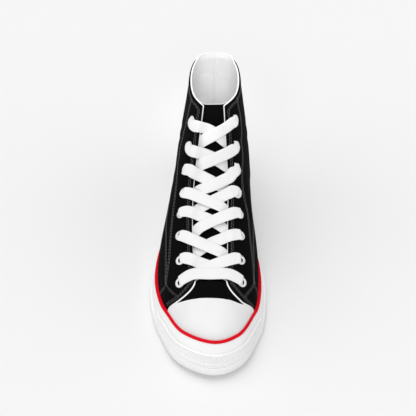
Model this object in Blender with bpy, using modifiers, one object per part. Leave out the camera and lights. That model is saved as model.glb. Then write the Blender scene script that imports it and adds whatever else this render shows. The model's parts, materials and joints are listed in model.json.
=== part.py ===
# High top sneaker, one right shoe standing empty on its sole.
# Frame: toe at -Y, heel at +Y, inner (medial) side at +X, up is +Z, floor at Z = 0.
import math

import bmesh
import bpy
import numpy as np
from mathutils import Matrix, Vector

# Driving sizes of the whole shoe, in metres
SOLE_LENGTH = 0.282
SOLE_WIDTH = 0.107
COLLAR_HEIGHT = 0.1515
COLLAR_WIDTH = 0.0460
INSTEP_HEIGHT = 0.0600
THROAT_WIDTH = 0.0324

# Sole
TOE_FULLNESS = 1.18
HEEL_FULLNESS = 1.10
TOE_SPRING = 0.0058
SPRING_START = 0.085
ARCH_RISE = 0.0009
ARCH_SPAN = (0.46, 0.74)
OUTSOLE_THICKNESS = 0.0090
OUTSOLE_LIP = 0.0008
OUTSOLE_ROUND = 0.0012
FOXING_HEIGHT = 0.0300
FOXING_FLARE = 0.0030
TOE_LEAN_BACK = 0.0022
TOE_LEAN_SIDE = 0.0013
TOE_LEAN_END = 0.095
FOXING_RIB_HEIGHT = 0.0013
FOXING_RIB = 0.0010
FOXING_ROUND = 0.0006
FOXING_SHOULDER = 0.96
FOOTBED_HEIGHT = 0.0160
GROOVE_WIDTH = 0.0032
GROOVE_PITCH = 0.0088
GROOVE_DEPTH = 0.0018
GROOVE_RIM = 0.0085
GROOVE_FREE_SPAN = (0.47, 0.72)

# Red stripe and ribbed bumper round the sole
STRIPE_WIDTH = 0.0029
STRIPE_HEIGHT = 0.0029
STRIPE_ROUND = 0.0008
BUMPER_LOW = 0.02
BUMPER_HIGH = 0.54
BUMPER_THICKNESS = 0.0015
BUMPER_REACH = 3.0
BUMPER_TAPER = 0.5
BUMPER_THIN_END = 0.25
BUMPER_COLUMNS = 25

# Upper and what lies on it or in it
UPPER_WALL = 0.0016
QUARTER_STEP = 0.0009
TOE_CAP_THICKNESS = 0.0013
TOE_CAP_SEAT = 0.0005
TOE_CAP_FOOT = 0.03
TONGUE_THICKNESS = 0.0020
TONGUE_WING_WIDTH = 0.0130
TONGUE_EDGE_WIDTH = 0.0020
TONGUE_ARCH = 0.45
TONGUE_RISE = 0.0012
TONGUE_GAP = 0.0025
TONGUE_TOP = 0.05
TONGUE_FOOT = 0.1
TONGUE_TUCK = (0.93, 0.86)
TONGUE_TUCK_REACH = 0.35
INSOLE_THICKNESS = 0.0032
INSOLE_SHOULDER = 0.7
INSOLE_ROUND = 0.4

# Eyelets and laces
EYELET_FLANGE = 0.0096
EYELET_BORE = 0.0048
EYELET_WALL = 0.0006
EYELET_RIM = 0.0009
LACE_WIDTH = 0.0100
LACE_THICKNESS = 0.0013
LACE_BAR_RISE = 0.0050
LACE_LIFT = 0.0010
LACE_FOOT = 0.7
LACE_BRIDGE = (0.3, 0.5, 0.75)

# Clearance between touching pieces
FIT = 0.0003

# Mesh density: columns between stations at the heel, along the sides and round the toe, rows up the upper
HEEL_STEPS = 3
SIDE_STEPS = 2
TOE_STEPS = 5
UPPER_ROWS = 10
TOE_CAP_ROWS = 8
TOE_CAP_COLUMNS = 17
TONGUE_ROWS = 12
TONGUE_WING_COLUMNS = 3
TONGUE_BRIDGE_COLUMNS = 5
EYELET_SIDES = 10
EYELET_HOLE_SIDES = 12

# Search for a place on the skin: first reach round the throat and down the section, then rounds and samples
SEARCH_AROUND = 3.0
SEARCH_DOWN = 0.25
SEARCH_SHRINK = 0.4
SEARCH_ROUNDS = 9
SEARCH_SAMPLES = 25

# Stations run from the heel back (0) along the outer side to the toe (12) and back along the inner side.
HALF_STATIONS = 12
STATIONS = 2 * HALF_STATIONS
CORNER = 5
QUARTER = 10
STEP_SPLIT = 0.02

# Sole outline. Columns: distance from the toe and from the centre line on the outer side, then the same on
# the inner side, as shares of the sole's length and of half its width.
OUTLINE = (
    # outer along, outer side, inner along, inner side
    (1.000, -0.098, 1.000, -0.098),
    (0.974, 0.255, 0.974, 0.440),
    (0.925, 0.478, 0.925, 0.645),
    (0.850, 0.610, 0.850, 0.745),
    (0.752, 0.675, 0.752, 0.790),
    (0.645, 0.785, 0.645, 0.825),
    (0.530, 0.895, 0.525, 0.880),
    (0.425, 0.985, 0.420, 0.978),
    (0.330, 1.000, 0.315, 1.000),
    (0.235, 0.925, 0.218, 0.952),
    (0.168, 0.802, 0.158, 0.855),
    (0.060, 0.512, 0.047, 0.574),
    (0.000, -0.068, 0.000, -0.068),
)

# Height of the foxing above the sole's underside, as shares of FOXING_HEIGHT, by distance from the toe.
FOXING_LINE = (
    # along, height
    (0.00, 1.140),
    (0.14, 0.960),
    (0.32, 0.855),
    (0.60, 0.890),
    (0.85, 1.010),
    (1.00, 1.040),
)

# Top edge of the upper: collar from station 0 to 5, side of the throat from 5 to 10, its foot from 10 to 12.
# Columns: distance from the toe (share of sole length), half width (share of half the collar's width up to
# station 5 and of half the throat's width after it), height (share of the way from instep to collar),
# centre line's shift to the inner side (share of half the sole's width).
TOP_EDGE = (
    # along, half width, height, shift
    (0.981, 0.00, 1.008, 0.122),
    (0.967, 0.56, 1.006, 0.122),
    (0.915, 0.89, 0.998, 0.120),
    (0.836, 1.00, 0.990, 0.119),
    (0.748, 0.87, 1.000, 0.112),
    (0.688, 0.61, 1.000, 0.096),
    (0.636, 0.79, 0.640, 0.075),
    (0.545, 0.98, 0.355, 0.050),
    (0.430, 1.00, 0.210, 0.035),
    (0.305, 0.95, 0.080, 0.040),
    (0.222, 0.89, -0.010, 0.048),
    (0.218, 0.45, 0.004, 0.052),
    (0.217, 0.00, 0.008, 0.055),
)

# Section profiles, each a cubic from the sole line to the top edge. Columns, as shares of COLLAR_HEIGHT:
# rise and swell of the lower handle (outer side, inner side), then the drop, the spread to the side and the
# reach towards the toe of the upper handle.
PROFILE = (
    # rise, outer swell, inner swell, drop, side, reach
    (0.165, 0.060, 0.060, 0.230, 0.000, 0.030),
    (0.155, 0.066, 0.066, 0.260, 0.012, 0.020),
    (0.145, 0.074, 0.080, 0.290, 0.024, 0.005),
    (0.135, 0.080, 0.090, 0.310, 0.034, 0.000),
    (0.130, 0.074, 0.092, 0.300, 0.055, 0.000),
    (0.120, 0.050, 0.074, 0.260, 0.120, -0.010),
    (0.110, 0.030, 0.054, 0.120, 0.125, 0.012),
    (0.105, 0.020, 0.030, 0.060, 0.120, 0.014),
    (0.100, 0.014, 0.020, 0.040, 0.115, 0.000),
    (0.090, 0.010, 0.012, 0.030, 0.105, 0.006),
    (0.080, 0.004, 0.004, 0.014, 0.006, 0.092),
    (0.090, 0.000, 0.000, 0.045, 0.010, 0.165),
    (0.090, 0.000, 0.000, 0.056, 0.000, 0.190),
)

# Rows of eyelets: place as a share of the throat's side, from the collar's corner to its foot, and
# distance of the hole's middle from the throat's edge.
EYELET_ROWS = (
    # share, inset
    (0.101, 0.0110), (0.232, 0.0104), (0.353, 0.0098), (0.474, 0.0096),
    (0.592, 0.0108), (0.721, 0.0114), (0.868, 0.0114), (0.992, 0.0130),
)

# Section of the toe bumper: share of its height, share of its thickness.
BUMPER_SECTION = ((0.0, 0.6), (0.15, 1.0), (0.85, 1.0), (1.0, 0.6))

# How far up the section the toe cap reaches, by station, 0 at the sole line and 1 at the top edge.
TOE_CAP_EDGE = (
    # station, reach
    (10.0, 0.420),
    (10.3, 0.575),
    (10.7, 0.695),
    (11.2, 0.755),
    (12.0, 0.792),
    (12.8, 0.762),
    (13.3, 0.710),
    (13.7, 0.605),
    (14.0, 0.480),
)


def two_sided(rows):
    """Rows for the outer side, heel to toe, followed by the inner side, toe to heel."""
    rows = np.array(rows, float)
    return np.concatenate([rows, rows[-2:0:-1]])


def station_curve(values, u, sharp=(), full=()):
    """Cubic through the closed list of station values, sharp at some stations and fuller at others."""
    values = np.asarray(values, float)
    u = np.asarray(u, float)
    count = len(values)
    low = np.floor(u).astype(int)
    t = (u - low)[..., None]
    before = values[(low - 1) % count]
    start = values[low % count]
    end = values[(low + 1) % count]
    after = values[(low + 2) % count]
    leave = (end - before) / 2
    arrive = (after - start) / 2
    for station, fullness in full:
        leave = leave * np.where(low % count == station, fullness, 1)[..., None]
        arrive = arrive * np.where((low + 1) % count == station, fullness, 1)[..., None]
    for corner in sharp:
        at_start = (low % count == corner)[..., None]
        at_end = ((low + 1) % count == corner)[..., None]
        leave = np.where(at_start, (end - start) * 1.5 - arrive / 2, leave)
        arrive = np.where(at_end, (end - start) * 1.5 - leave / 2, arrive)
    t2, t3 = t * t, t * t * t
    return ((2 * t3 - 3 * t2 + 1) * start + (t3 - 2 * t2 + t) * leave
            + (3 * t2 - 2 * t3) * end + (t3 - t2) * arrive)


def table_curve(rows, place):
    """Smooth value at a place, from a short table of places and values."""
    table = np.array(rows, float)
    slopes = np.gradient(table[:, 1], table[:, 0])
    place = np.clip(place, table[0, 0], table[-1, 0])
    i = np.clip(np.searchsorted(table[:, 0], place) - 1, 0, len(table) - 2)
    span = table[i + 1, 0] - table[i, 0]
    t = (place - table[i, 0]) / span
    t2, t3 = t * t, t * t * t
    return ((2 * t3 - 3 * t2 + 1) * table[i, 1] + (t3 - 2 * t2 + t) * span * slopes[i]
            + (3 * t2 - 2 * t3) * table[i + 1, 1] + (t3 - t2) * span * slopes[i + 1])


def outline_stations():
    """Station points of the sole's outline, seen from above."""
    points = []
    for outer_along, outer_side, inner_along, inner_side in OUTLINE:
        points.append((-outer_side * SOLE_WIDTH / 2, outer_along * SOLE_LENGTH))
    for outer_along, outer_side, inner_along, inner_side in OUTLINE[-2:0:-1]:
        points.append((inner_side * SOLE_WIDTH / 2, inner_along * SOLE_LENGTH))
    return np.array(points)


def outline(u, inset=0.0):
    """Point of the sole's outline at u, drawn in by inset, as x and distance from the toe."""
    u = np.asarray(u, float)
    stations = outline_stations()
    full = ((0, HEEL_FULLNESS), (HALF_STATIONS, TOE_FULLNESS))
    point = station_curve(stations, u, full=full)
    ahead = station_curve(stations, u + 0.01, full=full)
    behind = station_curve(stations, u - 0.01, full=full)
    tangent = ahead - behind
    tangent /= np.linalg.norm(tangent, axis=-1, keepdims=True)
    outward = np.stack([tangent[..., 1], -tangent[..., 0]], -1)
    inset = np.broadcast_to(np.asarray(inset, float), u.shape)
    return point - outward * inset[..., None], outward


def underside(along):
    """Height of the sole's underside above the floor at a distance from the toe."""
    spring = TOE_SPRING * np.clip((SPRING_START - along) / SPRING_START, 0, None) ** 2
    start, end = ARCH_SPAN
    t = np.clip((along / SOLE_LENGTH - start) / (end - start), 0, 1)
    return spring + ARCH_RISE * np.sin(math.pi * t) ** 2


def foxing_top(along):
    """Height of the foxing's top edge above the floor."""
    return underside(along) + FOXING_HEIGHT * table_curve(FOXING_LINE, along / SOLE_LENGTH)


def to_frame(x, along, height):
    """Point in the shoe's frame, from side, distance from the toe and height."""
    return np.stack([x, along - SOLE_LENGTH / 2, height], -1)


def sole_ring(u, inset, height):
    """Ring round the sole, at an inset from its outline and a height above its underside."""
    point, outward = outline(u, inset)
    along = point[..., 1]
    return to_frame(point[..., 0], along, underside(along) + height)


def foxing_ring(u, share, inset=0.0):
    """Ring on the foxing's face, or in from it, at a share of the way from its rib to its top."""
    point, outward = outline(u, foxing_inset(u, share) + inset)
    along = point[..., 1]
    low = underside(along) + OUTSOLE_THICKNESS + FIT + FOXING_RIB_HEIGHT + FOXING_RIB / 2
    return to_frame(point[..., 0], along, low + (foxing_top(along) - low) * share)


def toe_lean(u):
    """How much further the foxing leans in round the toe, back and towards the inner side."""
    point, outward = outline(u)
    share = np.clip(1 - point[..., 1] / TOE_LEAN_END, 0, 1)
    lean = -(outward[..., 0] * TOE_LEAN_SIDE + outward[..., 1] * TOE_LEAN_BACK)
    return lean * share * share * (3 - 2 * share)


def in_quarter(u):
    """True on the quarters, false on the vamp between their front edges."""
    u = np.mod(u, STATIONS)
    return (u <= QUARTER) | (u >= STATIONS - QUARTER)


def foxing_inset(u, share):
    """Inset of the foxing's face from the outline, growing from its rib to its top."""
    return OUTSOLE_LIP + FOXING_RIB + (FOXING_FLARE + toe_lean(u)) * share


def feather_inset(u):
    """Inset of the upper's skin from the outline, where the quarters meet the stripe."""
    return foxing_inset(u, 1) + STRIPE_WIDTH + FIT + QUARTER_STEP


def wall_inset(u):
    """Inset of the foxing's inner wall, which follows the upper."""
    return feather_inset(u) - np.where(in_quarter(u), QUARTER_STEP, 0) - FIT


def top_edge(u):
    """Top edge of the upper at u: collar, throat sides and foot of the throat."""
    rows = np.array(TOP_EDGE, float)
    points = []
    for station, (along, half, height, shift) in enumerate(rows):
        width = COLLAR_WIDTH if station < CORNER else THROAT_WIDTH
        points.append((half * width / 2, along * SOLE_LENGTH,
                       INSTEP_HEIGHT + height * (COLLAR_HEIGHT - INSTEP_HEIGHT), shift * SOLE_WIDTH / 2))
    points = two_sided(points)
    side = np.where(np.arange(STATIONS) <= HALF_STATIONS, -1, 1)
    closed = np.stack([points[:, 3] + side * points[:, 0], points[:, 1], points[:, 2]], -1)
    sharp = (CORNER, QUARTER, STATIONS - QUARTER, STATIONS - CORNER)
    edge = station_curve(closed, u, sharp)
    edge[..., 1] -= SOLE_LENGTH / 2
    return edge


def skin(u, v):
    """Outer face of the upper's base: v is 0 at the stripe's top and 1 at the top edge."""
    u, v = np.broadcast_arrays(np.asarray(u, float), np.asarray(v, float))
    side = np.where(np.mod(u, STATIONS) <= HALF_STATIONS, -1, 1)
    table = two_sided(PROFILE) * COLLAR_HEIGHT
    handle = station_curve(table, u)
    foot, outward = outline(u, feather_inset(u))
    stripe = foxing_top(foot[..., 1]) + FIT + STRIPE_HEIGHT
    start = to_frame(foot[..., 0], foot[..., 1], stripe)
    end = top_edge(u)
    swell = np.where(side < 0, handle[..., 1], handle[..., 2])
    lower = start.copy()
    lower[..., :2] += outward * swell[..., None]
    lower[..., 2] += handle[..., 0]
    upper = end.copy()
    upper[..., 0] += side * handle[..., 4]
    upper[..., 1] -= handle[..., 5]
    upper[..., 2] -= handle[..., 3]
    t = v[..., None]
    s = 1 - t
    return s ** 3 * start + 3 * s * s * t * lower + 3 * s * t * t * upper + t ** 3 * end


def skin_normal(u, v):
    """Outward normal of the upper's skin."""
    u, v = np.broadcast_arrays(np.asarray(u, float), np.asarray(v, float))
    step = 0.01
    low, high = np.clip(v - step, 0, 1), np.clip(v + step, 0, 1)
    across = skin(u + step, v) - skin(u - step, v)
    up = skin(u, high) - skin(u, low)
    normal = np.cross(across, up)
    return normal / np.linalg.norm(normal, axis=-1, keepdims=True)


def skin_offset(u, v, distance):
    """Point off the upper's skin, outwards for a positive distance."""
    distance = np.asarray(distance, float)
    return skin(u, v) + skin_normal(u, v) * distance[..., None]


def plain_columns():
    """Places of the columns round the shoe, close together at the heel and the toe."""
    half = []
    for station in range(HALF_STATIONS):
        steps = HEEL_STEPS if station < 3 else SIDE_STEPS if station < 9 else TOE_STEPS
        half += [station + i / steps for i in range(steps)]
    return np.array(half + [HALF_STATIONS] + [STATIONS - value for value in half[:0:-1]])


def columns():
    """The same columns, with a close pair at each front edge of the quarters."""
    edges = (QUARTER, STATIONS - QUARTER)
    pairs = [edge + side * STEP_SPLIT for edge in edges for side in (-1, 1)]
    u = np.array([value for value in plain_columns() if value not in edges] + pairs)
    return np.sort(u)


def link_material(obj, color, roughness, metallic=0.0):
    """Give the object a plain surface."""
    material = bpy.data.materials.new(obj.name)
    material.use_nodes = True
    surface = material.node_tree.nodes["Principled BSDF"]
    surface.inputs["Base Color"].default_value = (*color, 1)
    surface.inputs["Roughness"].default_value = roughness
    surface.inputs["Metallic"].default_value = metallic
    obj.data.materials.append(material)


def mesh_object(name, points, faces, target):
    """Object of a loft's points and faces, with its faces pointing out."""
    mesh = bpy.data.meshes.new(name)
    mesh.from_pydata([tuple(point) for point in points], [], faces)
    shape = bmesh.new()
    shape.from_mesh(mesh)
    bmesh.ops.recalc_face_normals(shape, faces=shape.faces)
    shape.to_mesh(mesh)
    shape.free()
    obj = bpy.data.objects.new(name, mesh)
    target.objects.link(obj)
    return obj


def cap_faces(count, start, flip):
    """Strips across a ring, from one side of the shoe to the other."""
    faces = []
    for i in range(count // 2):
        loop = [start + i, start + i + 1, start + (count - i - 1) % count, start + (count - i) % count]
        loop = list(dict.fromkeys(loop))
        if len(loop) > 2:
            faces.append(loop[::-1] if flip else loop)
    return faces


def ring_solid(name, rings, target, capped):
    """Solid through a list of rings, capped at both ends or closed on itself like a tyre."""
    rings = np.array(rings)
    levels, count = rings.shape[:2]
    faces = []
    for level in range(levels - 1 if capped else levels):
        above = (level + 1) % levels
        for i in range(count):
            j = (i + 1) % count
            faces.append((level * count + i, level * count + j, above * count + j, above * count + i))
    if capped:
        faces += cap_faces(count, 0, False)
        faces += cap_faces(count, (levels - 1) * count, True)
    return mesh_object(name, rings.reshape(-1, 3), faces, target)


def sheet_solid(name, outer, inner, target):
    """Solid between two sheets of points that have the same rows and columns."""
    rows, cols = outer.shape[:2]
    size = rows * cols
    faces = []
    for r in range(rows - 1):
        for c in range(cols - 1):
            quad = (r * cols + c, r * cols + c + 1, (r + 1) * cols + c + 1, (r + 1) * cols + c)
            faces.append(quad)
            faces.append(tuple(size + i for i in quad[::-1]))
    border = [c for c in range(cols)]
    border += [r * cols + cols - 1 for r in range(1, rows)]
    border += [(rows - 1) * cols + c for c in range(cols - 2, -1, -1)]
    border += [r * cols for r in range(rows - 2, 0, -1)]
    for here, there in zip(border, border[1:] + border[:1]):
        faces.append((there, here, size + here, size + there))
    points = np.concatenate([outer.reshape(-1, 3), inner.reshape(-1, 3)])
    return mesh_object(name, points, faces, target)


def boolean(obj, cutter, operation):
    """Cut or join one object with another."""
    modifier = obj.modifiers.new(cutter.name, "BOOLEAN")
    modifier.object = cutter
    modifier.operation = operation
    modifier.solver = "EXACT"


def make_guide(obj, guides):
    """Keep a cutter out of the model."""
    for collection in list(obj.users_collection):
        collection.objects.unlink(obj)
    guides.objects.link(obj)
    obj.hide_render = True
    obj.display_type = "WIRE"


def build_outsole(parts, guides):
    """Outsole: a slab with toe spring, a rounded edge and grooves between its lugs."""
    u = plain_columns()
    rings = [
        sole_ring(u, OUTSOLE_ROUND, 0),
        sole_ring(u, 0, OUTSOLE_ROUND),
        sole_ring(u, 0, OUTSOLE_THICKNESS - OUTSOLE_LIP),
        sole_ring(u, OUTSOLE_LIP, OUTSOLE_THICKNESS),
    ]
    outsole = ring_solid("outsole", rings, parts, True)
    link_material(outsole, (0.86, 0.85, 0.82), 0.6)

    shape = bmesh.new()
    dense = np.linspace(0, HALF_STATIONS, 400)
    outer, _ = outline(dense, GROOVE_RIM)
    inner, _ = outline(STATIONS - dense, GROOVE_RIM)
    first = GROOVE_RIM + GROOVE_PITCH
    count = int((SOLE_LENGTH - 2 * first) / GROOVE_PITCH) + 1
    step = GROOVE_WIDTH / 2
    for index in range(count):
        along = first + index * GROOVE_PITCH
        if GROOVE_FREE_SPAN[0] < along / SOLE_LENGTH < GROOVE_FREE_SPAN[1]:
            continue
        left = np.interp(-along, -outer[:, 1], outer[:, 0])
        right = np.interp(-along, -inner[:, 1], inner[:, 0])
        slope = float(underside(along + step) - underside(along - step)) / (2 * step)
        place = Matrix.Translation(((left + right) / 2, along - SOLE_LENGTH / 2, float(underside(along))))
        turn = Matrix.Rotation(math.atan(slope), 4, "X")
        size = Matrix.Diagonal((right - left, GROOVE_WIDTH, 2 * GROOVE_DEPTH, 1))
        bmesh.ops.create_cube(shape, size=1, matrix=place @ turn @ size)
    mesh = bpy.data.meshes.new("groove_cutter")
    shape.to_mesh(mesh)
    shape.free()
    cutter = bpy.data.objects.new("groove_cutter", mesh)
    make_guide(cutter, guides)
    boolean(outsole, cutter, "DIFFERENCE")
    return outsole


def build_midsole(parts):
    """Midsole: a tub whose wall is the foxing, with a rib along its foot."""
    u = columns()
    wall = wall_inset(u)
    foot = OUTSOLE_THICKNESS + FIT
    rings = [
        sole_ring(u, OUTSOLE_LIP, foot),
        sole_ring(u, OUTSOLE_LIP, foot + FOXING_RIB_HEIGHT),
        foxing_ring(u, 0),
        foxing_ring(u, FOXING_SHOULDER),
        foxing_ring(u, 1, FOXING_ROUND),
        foxing_ring(u, 1, wall - foxing_inset(u, 1)),
        sole_ring(u, wall, FOOTBED_HEIGHT),
    ]
    midsole = ring_solid("midsole", rings, parts, True)
    link_material(midsole, (0.90, 0.90, 0.89), 0.5)
    return midsole


def build_stripe(parts):
    """Red stripe: a band that lies on the foxing and hugs the upper."""
    u = columns()
    wall = wall_inset(u)
    face = foxing_inset(u, 1)

    def at(inset, rise):
        place, _ = outline(u, inset)
        along = place[..., 1]
        return to_frame(place[..., 0], along, foxing_top(along) + FIT + rise)

    rings = [
        at(wall, 0),
        at(face + STRIPE_ROUND / 2, 0),
        at(face, STRIPE_HEIGHT / 2),
        at(face + STRIPE_ROUND, STRIPE_HEIGHT - FIT),
        at(wall, STRIPE_HEIGHT - FIT),
    ]
    stripe = ring_solid("foxing_stripe", rings, parts, False)
    link_material(stripe, (0.68, 0.0, 0.012), 0.45)
    return stripe


def build_bumper(parts):
    """Toe bumper: a ribbed strip on the foxing round the toe, thin at its ends."""
    u = np.linspace(HALF_STATIONS - BUMPER_REACH, HALF_STATIONS + BUMPER_REACH, BUMPER_COLUMNS)
    swell = np.clip((BUMPER_REACH - np.abs(u - HALF_STATIONS)) / BUMPER_TAPER, BUMPER_THIN_END, 1)
    outer = []
    inner = []
    for share, ridge in BUMPER_SECTION:
        level = BUMPER_LOW + share * (BUMPER_HIGH - BUMPER_LOW)
        outer.append(foxing_ring(u, level, -FIT - BUMPER_THICKNESS * ridge * swell))
        inner.append(foxing_ring(u, level, -FIT))
    bumper = sheet_solid("toe_bumper", np.array(outer), np.array(inner), parts)
    link_material(bumper, (0.90, 0.90, 0.89), 0.6)
    return bumper


def throat_length(side):
    """Places along one side of the throat and the length from the collar's corner to each."""
    u = np.linspace(CORNER, QUARTER, 400)
    if side > 0:
        u = STATIONS - u
    edge = top_edge(u)
    length = np.concatenate([[0], np.cumsum(np.linalg.norm(np.diff(edge, axis=0), axis=1))])
    return u, length


def edge_tangent(u_edge):
    """Way along the throat's edge, towards the toe, within one side of the throat."""
    low, high = (CORNER, QUARTER) if u_edge < HALF_STATIONS else (STATIONS - QUARTER, STATIONS - CORNER)
    ends = np.clip(np.array([u_edge - 0.02, u_edge + 0.02]), low, high)
    first, second = top_edge(ends - np.array([0, 1e-6]))
    tangent = second - first if u_edge < HALF_STATIONS else first - second
    return tangent / np.linalg.norm(tangent)


def beside_edge(u_edge, distance):
    """Place on the skin at a distance from the throat's edge, square to it."""
    edge = top_edge(np.array([u_edge]))[0]
    tangent = edge_tangent(u_edge)
    low, high = (0, QUARTER) if u_edge < HALF_STATIONS else (STATIONS - QUARTER, STATIONS)
    centre_u, centre_v, reach_u, reach_v = u_edge, 1 - SEARCH_DOWN, SEARCH_AROUND, SEARCH_DOWN
    for _ in range(SEARCH_ROUNDS):
        span_u = np.clip(np.linspace(centre_u - reach_u, centre_u + reach_u, SEARCH_SAMPLES), low, high)
        span_v = np.clip(np.linspace(centre_v - reach_v, centre_v + reach_v, SEARCH_SAMPLES), 0, 1)
        u, v = np.meshgrid(span_u, span_v)
        away = skin(u, v) - edge
        error = np.abs(away @ tangent) + np.abs(np.linalg.norm(away, axis=-1) - distance)
        best = np.unravel_index(np.argmin(error), error.shape)
        centre_u, centre_v = u[best], v[best]
        reach_u *= SEARCH_SHRINK
        reach_v *= SEARCH_SHRINK
    return centre_u, centre_v


def row_lengths(side):
    """Length along the throat's edge, from the collar's corner, of each row of eyelets."""
    u, length = throat_length(side)
    return length[-1] * np.array([share for share, inset in EYELET_ROWS])


def eyelet_places():
    """Row, side and place on the skin of each eyelet."""
    places = []
    for side in (-1, 1):
        for row, length in enumerate(row_lengths(side)):
            places.append((row, side, beside_edge(throat_place(side, length), EYELET_ROWS[row][1])))
    return places


def build_upper(parts, guides, places):
    """Upper: one hollow shell, open at collar, throat and underneath, with raised quarters."""
    u = columns()
    step = np.where(in_quarter(u), QUARTER_STEP, 0)
    base = FOOTBED_HEIGHT + FIT
    levels = np.linspace(0, 1, UPPER_ROWS)
    outer = [sole_ring(u, feather_inset(u) - step, base)]
    inner = [sole_ring(u, feather_inset(u) + UPPER_WALL, base)]
    for v in levels:
        outer.append(skin_offset(u, v, step))
        inner.append(skin_offset(u, v, np.full(len(u), -UPPER_WALL)))
    upper = ring_solid("upper", outer + inner[::-1], parts, False)
    link_material(upper, (0.012, 0.012, 0.013), 0.85)

    shape = bmesh.new()
    radius = EYELET_BORE / 2 + EYELET_WALL + FIT
    for row, side, (place_u, place_v) in places:
        seat = Vector(skin(place_u, place_v))
        normal = Vector(skin_normal(place_u, place_v))
        turn = normal.to_track_quat("Z", "Y").to_matrix().to_4x4()
        bmesh.ops.create_cone(shape, cap_ends=True, segments=EYELET_HOLE_SIDES, radius1=radius,
                              radius2=radius, depth=4 * (UPPER_WALL + QUARTER_STEP),
                              matrix=Matrix.Translation(seat) @ turn)
    mesh = bpy.data.meshes.new("eyelet_cutter")
    shape.to_mesh(mesh)
    shape.free()
    cutter = bpy.data.objects.new("eyelet_cutter", mesh)
    make_guide(cutter, guides)
    boolean(upper, cutter, "DIFFERENCE")
    return upper


def build_toe_cap(parts):
    """Toe cap: a rubber shell on the vamp, between the front edges of the quarters."""
    split = STEP_SPLIT * 2
    u = np.linspace(QUARTER + split, STATIONS - QUARTER - split, TOE_CAP_COLUMNS)
    share = np.linspace(0, 1, TOE_CAP_ROWS)[:, None]
    v = TOE_CAP_FOOT + share * (table_curve(TOE_CAP_EDGE, u) - TOE_CAP_FOOT)
    grid_u = np.broadcast_to(u, v.shape)
    thickness = np.full(v.shape, TOE_CAP_THICKNESS)
    outer = skin_offset(grid_u, v, TOE_CAP_SEAT + thickness)
    inner = skin_offset(grid_u, v, np.full(v.shape, TOE_CAP_SEAT))
    cap = sheet_solid("toe_cap", outer, inner, parts)
    link_material(cap, (0.90, 0.90, 0.89), 0.4)
    return cap


def build_tongue(parts):
    """Tongue: an arched sheet under the throat, tucked under the vamp at its foot."""
    depth = UPPER_WALL + TONGUE_GAP
    rows = []
    normals = []
    edges = np.linspace(CORNER + TONGUE_TOP, QUARTER - TONGUE_FOOT, TONGUE_ROWS)
    wings = np.linspace(TONGUE_WING_WIDTH, TONGUE_EDGE_WIDTH, TONGUE_WING_COLUMNS)
    bridge = np.linspace(0, 1, TONGUE_BRIDGE_COLUMNS + 2)[1:-1]
    for u_edge in edges:
        sides = []
        for u_side in (u_edge, STATIONS - u_edge):
            places = [beside_edge(u_side, wing) for wing in wings]
            u = np.array([place[0] for place in places])
            v = np.array([place[1] for place in places])
            sides.append((skin(u, v) - skin_normal(u, v) * depth, skin_normal(u, v)))
        (outer, outer_normal), (inner, inner_normal) = sides
        start, end = outer[-1], inner[-1]
        chord = np.linalg.norm(end - start)
        leave = outer[-1] - outer[-2]
        leave = leave / np.linalg.norm(leave) * chord * TONGUE_ARCH
        arrive = inner[-2] - inner[-1]
        arrive = arrive / np.linalg.norm(arrive) * chord * TONGUE_ARCH
        t = bridge[:, None]
        t2, t3 = t * t, t * t * t
        middle = ((2 * t3 - 3 * t2 + 1) * start + (t3 - 2 * t2 + t) * leave
                  + (3 * t2 - 2 * t3) * end + (t3 - t2) * arrive)
        middle_normal = outer_normal[-1] * (1 - t) + inner_normal[-1] * t
        rows.append(np.concatenate([outer, middle, inner[::-1]]))
        normals.append(np.concatenate([outer_normal, middle_normal, inner_normal[::-1]]))
    count = len(rows[0])
    rows[0] = rows[0] + np.array([0, 0, TONGUE_RISE])
    for level in TONGUE_TUCK:
        u = np.linspace(QUARTER - TONGUE_TUCK_REACH, STATIONS - QUARTER + TONGUE_TUCK_REACH, count)
        v = np.full(count, level)
        rows.append(skin(u, v) - skin_normal(u, v) * (UPPER_WALL + 2 * FIT))
        normals.append(skin_normal(u, v))
    outer = np.array(rows)
    normals = np.array(normals)
    normals /= np.linalg.norm(normals, axis=-1, keepdims=True)
    tongue = sheet_solid("tongue", outer, outer - normals * TONGUE_THICKNESS, parts)
    link_material(tongue, (0.012, 0.012, 0.013), 0.9)
    return tongue


def build_insole(parts):
    """Insole: a flat sheet on the midsole's floor, inside the upper."""
    u = plain_columns()
    inset = feather_inset(u) + UPPER_WALL + FIT
    low = FOOTBED_HEIGHT + FIT
    rings = [
        sole_ring(u, inset, low),
        sole_ring(u, inset, low + INSOLE_THICKNESS * INSOLE_SHOULDER),
        sole_ring(u, inset + INSOLE_THICKNESS * INSOLE_ROUND, low + INSOLE_THICKNESS),
    ]
    insole = ring_solid("insole", rings, parts, True)
    link_material(insole, (0.80, 0.79, 0.76), 0.9)
    return insole


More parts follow.
